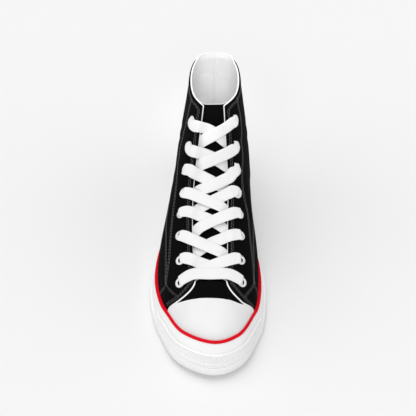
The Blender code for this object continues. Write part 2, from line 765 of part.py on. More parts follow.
def build_eyelets(parts, places):
    """Eyelets: one turned metal ring for each hole."""
    bore = EYELET_BORE / 2
    barrel = bore + EYELET_WALL
    flange = EYELET_FLANGE / 2
    depth = UPPER_WALL + QUARTER_STEP
    profile = [(bore, -depth), (bore, EYELET_RIM), (flange, FIT * 2), (barrel, FIT), (barrel, -depth)]
    mesh = bpy.data.meshes.new("eyelet")
    count = len(profile)
    edges = [(index, (index + 1) % count) for index in range(count)]
    mesh.from_pydata([(radius, 0, height) for radius, height in profile], edges, [])
    for row, side, (place_u, place_v) in places:
        name = "eyelet_{}_{}".format("outer" if side < 0 else "inner", row + 1)
        eyelet = bpy.data.objects.new(name, mesh)
        parts.objects.link(eyelet)
        normal = skin_normal(place_u, place_v)
        seat = skin(place_u, place_v) + normal * QUARTER_STEP
        eyelet.location = Vector(seat)
        eyelet.rotation_euler = Vector(normal).to_track_quat("Z", "Y").to_euler()
        turn = eyelet.modifiers.new("turn", "SCREW")
        turn.steps = EYELET_SIDES
        turn.render_steps = EYELET_SIDES
        turn.merge_threshold = 0.00001
        turn.use_merge_vertices = True
    link_material(bpy.data.objects["eyelet_outer_1"], (0.80, 0.80, 0.80), 0.3, 1.0)


def throat_place(side, length):
    """Place on the skin's top edge at a length along one side of the throat."""
    u, lengths = throat_length(side)
    return np.interp(length, lengths, u)


def on_eyestay(side, length, distance):
    """Middle of a lace that lies on the eyestay, and the way up from it."""
    place = beside_edge(throat_place(side, length), distance)
    normal = skin_normal(*place)
    return skin(*place) + normal * (QUARTER_STEP + LACE_LIFT + LACE_THICKNESS / 2), normal


def inside_throat(side, length):
    """Middle of a lace that comes out from under the throat's edge, and the way up from it."""
    u_edge = throat_place(side, length)
    point, other = top_edge(np.array([u_edge, STATIONS - u_edge]))
    inward = (other - point) / np.linalg.norm(other - point)
    normal = skin_normal(*beside_edge(u_edge, FIT))
    return point + inward * 2 * FIT - normal * (UPPER_WALL + LACE_THICKNESS / 2), normal


def lace_strip(name, sides, target):
    """Flat lace between two side lines, each a list of points with the way up at each."""
    points = np.array([[point for point, lift in side] for side in sides]).swapaxes(0, 1)
    lifts = np.array([[lift for point, lift in side] for side in sides]).swapaxes(0, 1)
    lifts = lifts / np.linalg.norm(lifts, axis=-1, keepdims=True) * LACE_THICKNESS / 2
    return sheet_solid(name, points + lifts, points - lifts, target)


def lace_stop(row):
    """Distance from the throat's edge at which a lace ends, just short of its eyelet's rim."""
    return EYELET_ROWS[row][1] - EYELET_FLANGE / 2 - 2 * FIT


def lace_line(start, side, length, stop):
    """Side line of an arm, from its start across the throat and over the eyestay to the eyelet's rim."""
    over = on_eyestay(side, length, 2 * FIT)
    line = [start]
    for share in LACE_BRIDGE:
        line.append((start[0] * (1 - share) + over[0] * share, start[1] * (1 - share) + over[1] * share))
    return line + [over, on_eyestay(side, length, stop / 2), on_eyestay(side, length, stop)]


def lace_arm(name, side, low, high, stop, target):
    """One arm of a crossing, from inside the throat on one side to an eyelet on the other."""
    start, end = top_edge(np.array([throat_place(side, low), throat_place(-side, high)]))
    slant = (low - high) / np.linalg.norm(end - start)
    half = LACE_WIDTH / 2 / math.sqrt(1 - slant * slant)
    lines = []
    for shift in (-half, half):
        lines.append(lace_line(inside_throat(side, low + shift), -side, high + shift, stop))
    return lace_strip(name, lines, target)


def build_laces(parts, guides):
    """Laces: a straight bar at the lowest row and a crossing above each row."""
    rows = {side: row_lengths(side) for side in (-1, 1)}
    last = len(EYELET_ROWS) - 1
    stop = lace_stop(last)
    lines = []
    for shift in (-LACE_WIDTH / 2, LACE_WIDTH / 2):
        ends = []
        for side in (-1, 1):
            length = rows[side][last] - LACE_BAR_RISE + shift
            ends.append([on_eyestay(side, length, distance) for distance in (stop, stop / 2, 2 * FIT)])
        middle = ((ends[0][2][0] + ends[1][2][0]) / 2 + np.array([0, 0, LACE_THICKNESS]),
                  ends[0][2][1] + ends[1][2][1])
        lines.append(ends[0] + [middle] + ends[1][::-1])
    bar = lace_strip("lace_bar", lines, parts)
    link_material(bar, (0.90, 0.90, 0.89), 0.85)
    for row in range(last):
        arms = []
        for side in (1, -1):
            foot = rows[side][last] - LACE_WIDTH * LACE_FOOT
            low = min(rows[side][row + 1], foot)
            name = "lace_crossing_{}".format(row + 1)
            arms.append(lace_arm(name, side, low, rows[-side][row], lace_stop(row), parts))
        make_guide(arms[1], guides)
        boolean(arms[0], arms[1], "UNION")
        link_material(arms[0], (0.90, 0.90, 0.89), 0.85)


def build():
    """Build the shoe's pieces in their own collection."""
    for obj in list(bpy.data.objects):
        bpy.data.objects.remove(obj)
    parts = bpy.data.collections.new("high_top_sneaker")
    guides = bpy.data.collections.new("cutters")
    bpy.context.scene.collection.children.link(parts)
    bpy.context.scene.collection.children.link(guides)
    places = eyelet_places()
    build_outsole(parts, guides)
    build_midsole(parts)
    build_stripe(parts)
    build_bumper(parts)
    build_upper(parts, guides, places)
    build_toe_cap(parts)
    build_tongue(parts)
    build_insole(parts)
    build_eyelets(parts, places)
    build_laces(parts, guides)


build()
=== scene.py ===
import json
import math

import bpy
import numpy as np
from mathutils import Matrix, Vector

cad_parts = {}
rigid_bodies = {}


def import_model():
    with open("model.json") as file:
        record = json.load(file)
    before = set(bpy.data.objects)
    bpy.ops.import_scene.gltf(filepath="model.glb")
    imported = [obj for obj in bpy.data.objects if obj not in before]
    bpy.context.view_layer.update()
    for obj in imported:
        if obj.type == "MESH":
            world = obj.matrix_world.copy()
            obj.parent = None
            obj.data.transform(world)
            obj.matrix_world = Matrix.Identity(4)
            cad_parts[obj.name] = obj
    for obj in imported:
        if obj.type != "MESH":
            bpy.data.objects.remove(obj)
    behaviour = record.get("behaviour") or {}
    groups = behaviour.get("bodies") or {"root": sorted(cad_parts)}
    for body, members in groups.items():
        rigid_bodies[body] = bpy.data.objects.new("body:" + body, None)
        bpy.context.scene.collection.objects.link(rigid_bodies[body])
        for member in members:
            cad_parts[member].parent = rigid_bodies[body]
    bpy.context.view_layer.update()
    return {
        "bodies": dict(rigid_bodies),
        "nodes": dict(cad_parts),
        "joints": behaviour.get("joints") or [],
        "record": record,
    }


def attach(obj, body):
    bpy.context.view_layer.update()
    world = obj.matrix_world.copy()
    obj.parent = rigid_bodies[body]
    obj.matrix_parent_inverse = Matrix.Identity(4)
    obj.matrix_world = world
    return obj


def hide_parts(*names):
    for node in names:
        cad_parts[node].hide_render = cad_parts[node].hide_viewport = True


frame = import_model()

print("frame loaded:", len(frame["nodes"]), "nodes")

# High top sneaker, right shoe. Toe at -Y, heel at +Y, inner side at +X, floor at Z = 0, metres.
# u runs round the shoe: 0 heel, 12 toe, 24 heel again. v runs up the upper: 0 above the stripe, 1 at the
# top edge. A side is -1 for the outer one and 1 for the inner one.
cornerU, quarterU, toeU, fullTurn = 5, 10, 12, 24  # collar's corner, quarter's front edge, toe, heel again
sides = {-1: "outer", 1: "inner"}
last = {
    "length": 0.282, "width": 0.107,
    "collarHeight": 0.1515, "collarWidth": 0.0460, "instepHeight": 0.0600, "throatWidth": 0.0324,
    "toeFullness": 1.18, "heelFullness": 1.10,
    "toeSpring": 0.0058, "springStart": 0.085, "archRise": 0.0009, "archStart": 0.46, "archSpan": 0.28,
    "swing": {-1: 0.10, 1: 0.26}, "swingTop": 0.45,
    "wall": 0.0016, "quarterStep": 0.0009, "fit": 0.0003,
}
sole = {
    "outsole": 0.0090, "lip": 0.0008, "edge": 0.0012,
    "foxing": 0.0300, "flare": 0.0030, "rib": 0.0010, "ribHeight": 0.0013, "top": 0.0006,
    "leanBack": 0.0028, "leanOuter": 0.0020, "leanInner": 0.0002, "leanEnd": 0.095,
    "stripeWidth": 0.0029, "stripeHeight": 0.0029, "stripeRound": 0.0008,
    "footbed": 0.0160, "bumperLow": 0.02, "bumperHigh": 0.54, "bumperThick": 0.0011,
}
# Sole outline, heel to toe: outer along, outer side, inner along, inner side, as shares
outlineTable = (
    (1.000, -0.098, 1.000, -0.098), (0.974, 0.255, 0.974, 0.440), (0.925, 0.478, 0.925, 0.645),
    (0.850, 0.610, 0.850, 0.745), (0.752, 0.675, 0.752, 0.790), (0.645, 0.785, 0.645, 0.825),
    (0.530, 0.895, 0.525, 0.880), (0.425, 0.985, 0.420, 0.978), (0.330, 1.000, 0.315, 1.000),
    (0.235, 0.925, 0.218, 0.952), (0.168, 0.802, 0.158, 0.855), (0.060, 0.512, 0.047, 0.574),
    (0.000, -0.068, 0.000, -0.068),
)
foxingTable = ((0.00, 1.140), (0.14, 0.960), (0.32, 0.855), (0.60, 0.890), (0.85, 1.010), (1.00, 1.040))
# Top edge, heel to throat foot: along, half width, height, shift to the inner side, as shares
topTable = (
    (0.981, 0.00, 1.008, 0.122), (0.967, 0.56, 1.006, 0.122), (0.915, 0.89, 0.998, 0.120),
    (0.836, 1.00, 0.990, 0.119), (0.748, 0.87, 1.000, 0.112), (0.688, 0.61, 1.000, 0.096),
    (0.636, 0.79, 0.640, 0.075), (0.545, 0.98, 0.355, 0.050), (0.430, 1.00, 0.210, 0.035),
    (0.305, 0.95, 0.080, 0.040), (0.222, 0.89, -0.010, 0.048), (0.218, 0.45, 0.004, 0.052),
    (0.217, 0.00, 0.008, 0.055),
)
# Side section, heel to toe: rise, outer and inner swell, drop, side, reach, as shares of the collar height
sectionTable = (
    (0.165, 0.060, 0.060, 0.230, 0.000, 0.030), (0.155, 0.066, 0.066, 0.260, 0.012, 0.020),
    (0.145, 0.074, 0.080, 0.290, 0.024, 0.005), (0.135, 0.080, 0.090, 0.310, 0.034, 0.000),
    (0.130, 0.074, 0.092, 0.300, 0.055, 0.000), (0.120, 0.050, 0.074, 0.260, 0.120, -0.010),
    (0.110, 0.030, 0.054, 0.120, 0.125, 0.012), (0.105, 0.020, 0.030, 0.060, 0.120, 0.014),
    (0.100, 0.014, 0.020, 0.040, 0.115, 0.000), (0.090, 0.010, 0.012, 0.030, 0.105, 0.006),
    (0.080, 0.004, 0.004, 0.014, 0.006, 0.092), (0.090, 0.000, 0.000, 0.045, 0.010, 0.165),
    (0.090, 0.000, 0.000, 0.056, 0.000, 0.190),
)
capTable = (  # top edge of the toe cap: u, v
    (10.00, 0.310), (10.06, 0.363), (10.28, 0.537), (10.47, 0.623), (10.84, 0.713), (11.25, 0.757),
    (11.80, 0.780), (12.35, 0.776), (12.77, 0.755), (13.22, 0.702), (13.54, 0.622), (13.71, 0.532),
    (13.83, 0.439), (14.00, 0.310),
)


def unit(vectors):
    return vectors / np.linalg.norm(vectors, axis=-1, keepdims=True)


def runLength(points, power=1.0):  # length from the first point on, at each point
    steps = np.linalg.norm(np.diff(points, axis=0), axis=1) ** power
    return np.concatenate([[0], np.cumsum(steps)])


def hermite(t, start, leave, end, arrive):
    t2, t3 = t * t, t * t * t
    return ((2 * t3 - 3 * t2 + 1) * start + (t3 - 2 * t2 + t) * leave
            + (3 * t2 - 2 * t3) * end + (t3 - t2) * arrive)


def onSide(u, side):  # a place given for the outer side, on either side
    return u if side < 0 else fullTurn - u


def fromHeel(u):  # the same place, from -12 to 12
    return np.mod(u + fullTurn / 2, fullTurn) - fullTurn / 2


def bothSides(rows):
    rows = np.array(rows, float)
    return np.concatenate([rows, rows[-2:0:-1]])


def stationCurve(values, u, sharp=(), full=()):  # closed smooth curve through the station values
    values, u = np.asarray(values, float), np.asarray(u, float)
    count = len(values)
    low = np.floor(u).astype(int)
    t = (u - low)[..., None]
    before, start = values[(low - 1) % count], values[low % count]
    end, after = values[(low + 1) % count], values[(low + 2) % count]
    leave, arrive = (end - before) / 2, (after - start) / 2
    for station, fullness in full:
        leave = leave * np.where(low % count == station, fullness, 1)[..., None]
        arrive = arrive * np.where((low + 1) % count == station, fullness, 1)[..., None]
    for corner in sharp:
        atStart, atEnd = (low % count == corner)[..., None], ((low + 1) % count == corner)[..., None]
        leave = np.where(atStart, (end - start) * 1.5 - arrive / 2, leave)
        arrive = np.where(atEnd, (end - start) * 1.5 - leave / 2, arrive)
    return hermite(t, start, leave, end, arrive)


def curveThrough(knots, values, place):  # smooth curve through the values at the knots
    knots, values = np.asarray(knots, float), np.asarray(values, float)
    slopes = np.gradient(values, knots, axis=0)
    place = np.clip(place, knots[0], knots[-1])
    i = np.clip(np.searchsorted(knots, place, side="right") - 1, 0, len(knots) - 2)
    span = knots[i + 1] - knots[i]
    t = (place - knots[i]) / span
    if values.ndim > 1:
        t, span = t[..., None], span[..., None]
    return hermite(t, values[i], span * slopes[i], values[i + 1], span * slopes[i + 1])


def tableCurve(rows, place):
    table = np.array(rows, float)
    return curveThrough(table[:, 0], table[:, 1], place)


outlineStations = np.array(
    [(-row[1] * last["width"] / 2, row[0] * last["length"]) for row in outlineTable]
    + [(row[3] * last["width"] / 2, row[2] * last["length"]) for row in outlineTable[-2:0:-1]])


def soleOutline(u, inset=0.0):  # x, distance from the toe, and the way out
    u = np.asarray(u, float)
    full = ((0, last["heelFullness"]), (toeU, last["toeFullness"]))
    point, ahead, behind = (stationCurve(outlineStations, u + step, full=full) for step in (0, 0.01, -0.01))
    tangent = unit(ahead - behind)
    outward = np.stack([tangent[..., 1], -tangent[..., 0]], -1)
    inset = np.broadcast_to(np.asarray(inset, float), u.shape)
    return point - outward * inset[..., None], outward


def underside(along):
    spring = last["toeSpring"] * np.clip((last["springStart"] - along) / last["springStart"], 0, None) ** 2
    t = np.clip((along / last["length"] - last["archStart"]) / last["archSpan"], 0, 1)
    return spring + last["archRise"] * np.sin(math.pi * t) ** 2


def foxingTop(along):
    return underside(along) + sole["foxing"] * tableCurve(foxingTable, along / last["length"])


def toFrame(x, along, height):
    return np.stack(np.broadcast_arrays(x, along - last["length"] / 2, height), -1)


def toeLean(u):
    point, outward = soleOutline(u)
    share = np.clip(1 - point[..., 1] / sole["leanEnd"], 0, 1)
    aside = np.where(outward[..., 0] < 0, sole["leanOuter"], sole["leanInner"])
    lean = -(outward[..., 0] * aside + outward[..., 1] * sole["leanBack"])
    return lean * share * share * (3 - 2 * share)


def frontEdge(v, side):  # where the quarter's front edge runs, from the throat's foot to the sole
    swing = last["swing"][side] * smoothStep(last["swingTop"] - np.asarray(v, float), 0, last["swingTop"])
    return onSide(quarterU - swing, side)


def inQuarter(u):
    u = np.mod(u, fullTurn)
    return (u <= quarterU) | (u >= fullTurn - quarterU)


def foxingInset(u, share):
    return sole["lip"] + sole["rib"] + (sole["flare"] + toeLean(u)) * share


def featherInset(u):
    return foxingInset(u, 1) + sole["stripeWidth"] + last["fit"] + last["quarterStep"]


def wallInset(u):
    return featherInset(u) - np.where(inQuarter(u), last["quarterStep"], 0) - last["fit"]


def soleRing(u, inset, height):
    point = soleOutline(u, inset)[0]
    return toFrame(point[..., 0], point[..., 1], underside(point[..., 1]) + height)


def foxingRing(u, share, inset=0.0):
    point = soleOutline(u, foxingInset(u, share) + inset)[0]
    low = underside(point[..., 1]) + sole["outsole"] + last["fit"] + sole["ribHeight"] + sole["rib"] / 2
    return toFrame(point[..., 0], point[..., 1], low + (foxingTop(point[..., 1]) - low) * share)


def topEdge(u):
    rows = []
    for station, (along, half, height, shift) in enumerate(topTable):
        width = last["collarWidth"] if station < cornerU else last["throatWidth"]
        rows.append((half * width / 2, along * last["length"],
                     last["instepHeight"] + height * (last["collarHeight"] - last["instepHeight"]),
                     shift * last["width"] / 2))
    rows = bothSides(rows)
    side = np.where(np.arange(fullTurn) <= toeU, -1, 1)
    closed = np.stack([rows[:, 3] + side * rows[:, 0], rows[:, 1], rows[:, 2]], -1)
    edge = stationCurve(closed, u, (cornerU, quarterU, fullTurn - quarterU, fullTurn - cornerU))
    edge[..., 1] -= last["length"] / 2
    return edge


def skin(u, v):  # outer face of the upper's base cloth
    u, v = np.broadcast_arrays(np.asarray(u, float), np.asarray(v, float))
    side = np.where(np.mod(u, fullTurn) <= toeU, -1, 1)
    handle = stationCurve(bothSides(sectionTable) * last["collarHeight"], u)
    foot, outward = soleOutline(u, featherInset(u))
    start = toFrame(foot[..., 0], foot[..., 1], foxingTop(foot[..., 1]) + last["fit"] + sole["stripeHeight"])
    end = topEdge(u)
    swell = np.where(side < 0, handle[..., 1], handle[..., 2])
    lower, upper = start.copy(), end.copy()
    lower[..., :2] += outward * swell[..., None]
    lower[..., 2] += handle[..., 0]
    upper[..., 0] += side * handle[..., 4]
    upper[..., 1] -= handle[..., 5]
    upper[..., 2] -= handle[..., 3]
    t = np.clip(v, 0, None)[..., None]
    s = 1 - t
    point = s ** 3 * start + 3 * s * s * t * lower + 3 * s * t * t * upper + t ** 3 * end
    point[..., 2] += np.clip(v, None, 0) * 0.15  # below the stripe's top the cloth runs straight down
    return point


def skinNormal(u, v):
    u, v = np.broadcast_arrays(np.asarray(u, float), np.asarray(v, float))
    v = np.clip(v, 0, 1)
    across = skin(u + 0.01, v) - skin(u - 0.01, v)
    up = skin(u, np.clip(v + 0.01, 0, 1)) - skin(u, np.clip(v - 0.01, 0, 1))
    return unit(np.cross(across, up))


def bump(x, centre, width):  # soft hump, 1 at its centre
    return np.exp(-((x - centre) / width) ** 2)


def smoothStep(x, low, high):
    t = np.clip((x - low) / (high - low), 0, 1)
    return t * t * (3 - 2 * t)


# Soft creases that every cloth layer follows: u, v, reach round, reach up, depth in metres, slant
creaseTable = (
    (2.9, 0.50, 1.6, 0.045, -0.00060, 0.050), (3.2, 0.60, 1.5, 0.040, -0.00045, 0.060),
    (3.0, 0.55, 1.6, 0.035, 0.00035, 0.055), (21.0, 0.52, 1.5, 0.045, -0.00060, -0.055),
    (20.8, 0.63, 1.3, 0.040, -0.00040, -0.050), (21.0, 0.575, 1.4, 0.035, 0.00035, -0.050),
    (11.2, 0.90, 1.3, 0.060, -0.00030, 0.0), (12.9, 0.93, 1.2, 0.050, -0.00025, 0.0),
)


def onUpper(u, v, lift):
    u, v = np.broadcast_arrays(np.asarray(u, float), np.asarray(v, float))
    ease = np.zeros(u.shape)
    for centreU, centreV, around, up, depth, slant in creaseTable:
        away = np.mod(u, fullTurn) - centreU
        ease += depth * bump(away, 0, around) * bump(v, centreV + slant * away, up)
    lift = np.asarray(lift, float) + ease * smoothStep(1 - v, 0.0, 0.1)
    return skin(u, v) + skinNormal(u, v) * lift[..., None]


def lineAt(line, lengths, place):
    return np.stack([np.interp(place, lengths, line[:, k]) for k in range(line.shape[1])], -1)


def evenly(line, spacing):  # the same line on the upper, in equal steps
    lengths = runLength(skin(line[:, 0], line[:, 1]))
    place = np.linspace(0, lengths[-1], max(int(round(lengths[-1] / spacing)), 2) + 1)
    return lineAt(line, lengths, place)


def seamLine(stops, spacing=0.001):  # smooth line on the upper through u, v places
    stops = np.array(stops, float)
    knots = runLength(skin(stops[:, 0], stops[:, 1]), 0.5)
    return evenly(curveThrough(knots, stops, np.linspace(0, knots[-1], 40 * len(stops))), spacing)


def shiftLine(line, distance):  # the line moved over the upper, to its right as seen from outside
    u, v = line[:, 0], line[:, 1]
    h = 0.001
    around = (skin(u + h, v) - skin(u - h, v)) / (2 * h)
    high, low = np.minimum(v + h, 1), np.maximum(v - h, 0)
    up = (skin(u, high) - skin(u, low)) / (high - low)[:, None]
    tangent = unit(np.gradient(skin(u, v), axis=0))
    away = np.cross(tangent, skinNormal(u, v))
    a, b, c = (around * around).sum(1), (around * up).sum(1), (up * up).sum(1)
    p, q = (away * around).sum(1), (away * up).sum(1)
    scale = distance / (a * c - b * b)
    return np.stack([u + (c * p - b * q) * scale, np.clip(v + (a * q - b * p) * scale, 0, 1)], -1)


def lineOn(line, side):  # a line given for the outer side, on either side
    return np.stack([onSide(line[:, 0], side), line[:, 1]], -1)


def insideLoop(loop, u, v):
    u, v = np.asarray(u, float), np.asarray(v, float)
    hits = np.zeros(u.shape, int)
    for (u1, v1), (u2, v2) in zip(loop, np.roll(loop, -1, axis=0)):
        if v1 != v2:
            hits += ((v1 > v) != (v2 > v)) & (u < (u2 - u1) * (v - v1) / (v2 - v1) + u1)
    return hits % 2 == 1


# Modelling helpers

def deselectAll():
    if bpy.context.mode != "OBJECT":
        bpy.ops.object.mode_set(mode="OBJECT")
    bpy.ops.object.select_all(action="DESELECT")


def pick(piece):
    deselectAll()
    piece.select_set(True)
    bpy.context.view_layer.objects.active = piece


def editMesh(piece, *steps):  # run edit operators on the whole piece
    pick(piece)
    bpy.ops.object.mode_set(mode="EDIT")
    bpy.ops.mesh.select_all(action="SELECT")
    for step in steps:
        step()
    bpy.ops.object.mode_set(mode="OBJECT")


def applyModifier(piece, kind, **settings):
    pick(piece)
    modifier = piece.modifiers.new(kind.lower(), kind)
    for key, value in settings.items():
        setattr(modifier, key, value)
    bpy.ops.object.modifier_apply(modifier=modifier.name)


def smoothShade(piece, degrees=40):
    pick(piece)
    bpy.ops.object.shade_smooth_by_angle(angle=math.radians(degrees))


def turnOut():
    bpy.ops.mesh.normals_make_consistent(inside=False)


def laidGrid(name, columns, rows, place, closed=False):
    # a grid, laid on the shoe: place(s, t) gives each vertex, with s and t from 0 to 1
    deselectAll()
    bpy.ops.mesh.primitive_grid_add(x_subdivisions=columns, y_subdivisions=rows, size=2)
    piece = bpy.context.active_object
    piece.name = name
    piece.data.name = name
    mesh = piece.data
    flat = np.empty(len(mesh.vertices) * 3, np.float32)
    mesh.vertices.foreach_get("co", flat)
    flat = flat.reshape(-1, 3)
    column = np.rint((flat[:, 0] + 1) / 2 * columns).astype(int)
    row = np.rint((flat[:, 1] + 1) / 2 * rows).astype(int)
    s, t = np.meshgrid(np.linspace(0, 1, columns + 1), np.linspace(0, 1, rows + 1))
    points = place(s, t)
    mesh.vertices.foreach_set("co", points[row, column].astype(np.float32).ravel())
    along = np.linalg.norm(np.diff(points, axis=1), axis=2).mean(0)
    up = np.linalg.norm(np.diff(points, axis=0), axis=2)
    alongSum = np.broadcast_to(np.concatenate([[0], np.cumsum(along)]), s.shape)
    upSum = np.concatenate([np.zeros((1, columns + 1)), np.cumsum(up, axis=0)])
    measured = np.stack([alongSum, upSum], -1)[row, column]  # the UV map is in metres on the cloth
    corners = np.empty(len(mesh.loops), np.int32)
    mesh.loops.foreach_get("vertex_index", corners)
    layer = mesh.uv_layers.active or mesh.uv_layers.new(name="UVMap")
    layer.data.foreach_set("uv", measured[corners].astype(np.float32).ravel())
    mesh.update()
    if closed:
        editMesh(piece, lambda: bpy.ops.mesh.remove_doubles(threshold=2e-6), turnOut)
    return piece


def thicken(piece, thick, edge=0.0, segments=2):
    applyModifier(piece, "SOLIDIFY", thickness=thick, offset=-1.0, use_even_offset=False)
    if edge:
        applyModifier(piece, "BEVEL", width=edge, segments=segments, limit_method="ANGLE",
                      angle_limit=math.radians(50), harden_normals=False)


def joinPieces(name, pieces):
    pick(pieces[0])
    for piece in pieces:
        piece.select_set(True)
    bpy.ops.object.join()
    joined = bpy.context.active_object
    joined.name = name
    joined.data.name = name
    return joined


def addObject(name, data):
    made = bpy.data.objects.new(name, data)
    bpy.context.scene.collection.objects.link(made)
    return made


def copiesAlong(name, template, frames):
    # one mesh of the template's copies; a frame is (place, forward, side, up), with lengths in the axes
    points = np.array([tuple(vertex.co) for vertex in template.data.vertices])
    faces = [tuple(face.vertices) for face in template.data.polygons]
    allPoints, allFaces = [], []
    for index, (place, forward, side, up) in enumerate(frames):
        allPoints.append(place + points[:, :1] * forward + points[:, 1:2] * side + points[:, 2:] * up)
        allFaces += [tuple(corner + index * len(points) for corner in face) for face in faces]
    mesh = bpy.data.meshes.new(name)
    mesh.from_pydata(np.concatenate(allPoints).tolist(), [], allFaces)
    bpy.data.objects.remove(template)
    return addObject(name, mesh)


def dress(piece, material, slotName, *nodes):
    piece.data.materials.clear()
    piece.data.materials.append(material)
    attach(piece, "root")
    if nodes:
        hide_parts(*nodes)
    return piece


def sheetPiece(name, columns, rows, place, thick, edge, material, slotName, closed=False, segments=2):
    # a sheet laid on the shoe, with its thickness and its rounded edge; the node has the slot's name
    piece = laidGrid(name, columns, rows, place, closed)
    thicken(piece, thick, edge, segments)
    smoothShade(piece)
    dress(piece, material, slotName, slotName)


# Shader helpers

class Wave:  # a socket that takes part in Python sums
    def __init__(self, finish, socket):
        self.finish, self.socket = finish, socket

    def calc(self, operation, *others):
        return self.finish.node("ShaderNodeMath", {"operation": operation}, [self, *others])

    def __add__(self, other): return self.calc("ADD", other)
    def __radd__(self, other): return self.calc("ADD", other)
    def __sub__(self, other): return self.calc("SUBTRACT", other)
    def __mul__(self, other): return self.calc("MULTIPLY", other)
    def __rmul__(self, other): return self.calc("MULTIPLY", other)
    def __rsub__(self, other): return (self * -1.0).calc("ADD", other)


class Finish:  # one material and its nodes
    def __init__(self, name, roughness, specular, metallic=0.0):
        self.material = bpy.data.materials.new(name)
        self.material.use_nodes = True
        self.tree = self.material.node_tree
        self.surface = self.tree.nodes["Principled BSDF"]
        self.set("Roughness", roughness)
        self.set("Metallic", metallic)
        self.set("Specular IOR Level", specular)

    def node(self, kind, settings=None, inputs=(), output=0):
        made = self.tree.nodes.new(kind)
        for key, value in (settings or {}).items():
            if key == "stops":
                ramp = made.color_ramp
                while len(ramp.elements) < len(value):
                    ramp.elements.new(0.5)
                for element, (position, shade) in zip(ramp.elements, value):
                    element.position = position
                    element.color = (*shade, 1) if isinstance(shade, tuple) else (shade, shade, shade, 1)
            else:
                setattr(made, key, value)
        pairs = inputs.items() if isinstance(inputs, dict) else enumerate(inputs)
        for key, value in pairs:
            if isinstance(value, Wave):
                self.tree.links.new(value.socket, made.inputs[key])
            elif value is not None:
                made.inputs[key].default_value = value
        return Wave(self, made.outputs[output])

    def uv(self, across=1.0, up=1.0):  # metres on the cloth, split into two waves
        place = self.node("ShaderNodeUVMap")
        x = self.node("ShaderNodeSeparateXYZ", None, [place])
        y = Wave(self, x.socket.node.outputs[1])
        return x * across, y * up

    def noise(self, scale, detail, rough=0.5):
        return self.node("ShaderNodeTexNoise", None, {
            "Vector": self.node("ShaderNodeTexCoord", None, (), "Object"),
            "Scale": scale, "Detail": detail, "Roughness": rough})

    def ramp(self, factor, low, high, first, second):
        return self.node("ShaderNodeValToRGB", {"stops": ((low, first), (high, second))}, [factor])

    def set(self, name, value):
        if isinstance(value, Wave):
            self.tree.links.new(value.socket, self.surface.inputs[name])
        else:
            self.surface.inputs[name].default_value = value

    def done(self, colour, height, depth, roughness=None):  # links the colour, the roughness and the relief
        self.set("Base Color", colour)
        if roughness:
            self.set("Roughness", roughness)
        self.set("Normal", self.node("ShaderNodeBump", None, {
            "Strength": 1.0, "Distance": depth, "Height": height}))
        return self.material


def sine(wave):
    return wave.calc("SINE")


def plainWeave(finish, pitch):  # over and under threads, 0 to 1
    across, up = finish.uv(math.pi / pitch, math.pi / pitch)
    warp = sine(across).calc("ABSOLUTE")
    weft = sine(up).calc("ABSOLUTE")
    over = (sine(across * 0.5) * sine(up * 0.5)).calc("MULTIPLY", 4.0).calc("ADD", 0.5)
    over = over.calc("MAXIMUM", 0.0).calc("MINIMUM", 1.0)
    return warp * over + weft * (1 - over)


def canvasFinish():
    cloth = {"pitch": 0.00062, "dark": 0.0012, "light": 0.0042, "depth": 0.00016}
    finish = Finish("black_canvas", 0.92, 0.03)
    weave = plainWeave(finish, cloth["pitch"])
    patches, fuzz = finish.noise(38.0, 4.0), finish.noise(2600.0, 2.0)
    dark, light = cloth["dark"], cloth["light"]
    return finish.done(
        finish.ramp(weave * 0.7 + patches * 0.4 + fuzz * 0.25, 0.25, 1.0,
                    (dark, dark, dark * 1.05), (light, light, light * 1.06)),
        weave * 0.8 + fuzz * 0.2, cloth["depth"], finish.ramp(patches, 0.2, 0.8, 0.84, 0.97))


def liningFinish():
    cloth = {"pitch": 0.00050, "low": 0.86, "high": 0.93, "depth": 0.00010}
    finish = Finish("white_lining", 0.95, 0.12)
    weave = plainWeave(finish, cloth["pitch"])
    patches = finish.noise(55.0, 4.0)
    return finish.done(
        finish.ramp(weave * 0.5 + patches * 0.5, 0.2, 0.8, cloth["low"], cloth["high"]),
        weave * 0.6 + finish.noise(900.0, 3.0) * 0.5, cloth["depth"],
        finish.ramp(patches, 0.2, 0.8, 0.88, 0.98))


def rubberFinish(name, low, high, rough, grain=0.00004, specular=0.3):
    finish = Finish(name, rough, specular)
    patches, grains = finish.noise(30.0, 5.0), finish.noise(1400.0, 3.0, 0.6)
    return finish.done(
        finish.ramp(patches, 0.25, 0.75, low, high), grains, grain,
        finish.ramp(patches * 0.6 + grains * 0.4, 0.3, 0.7, rough * 0.86, min(1.0, rough * 1.16)))


def laceFinish():
    finish = Finish("woven_lace", 0.9, 0.15)
    across, up = finish.uv()
    zigzag = (across * 260.0).calc("PINGPONG", 0.5) * 2.0
    twill = sine((up * 1150.0 + zigzag * 2.2) * math.pi)
    weave = twill * 0.4 + sine(across * (math.pi * 2600.0)) * 0.1 + 0.5
    patches = finish.noise(70.0, 3.0)
    return finish.done(finish.ramp(weave * 0.6 + patches * 0.4, 0.1, 0.7, 0.68, 0.79), weave, 0.00012,
                       finish.ramp(patches, 0.2, 0.8, 0.84, 0.95))


def threadFinish():
    finish = Finish("grey_thread", 0.8, 0.25)
    twist = finish.noise(5200.0, 2.0)
    shade = finish.ramp(twist, 0.3, 0.7, (0.085, 0.085, 0.09), (0.14, 0.14, 0.145))
    return finish.done(shade, twist, 0.00006)


def metalFinish():
    finish = Finish("silver_eyelet", 0.32, 0.5, metallic=0.85)
    wear = finish.noise(420.0, 4.0)
    return finish.done(finish.ramp(wear, 0.3, 0.7, (0.78, 0.78, 0.79), (0.88, 0.88, 0.88)),
                       finish.noise(2500.0, 2.0), 0.00001, finish.ramp(wear, 0.3, 0.7, 0.26, 0.42))


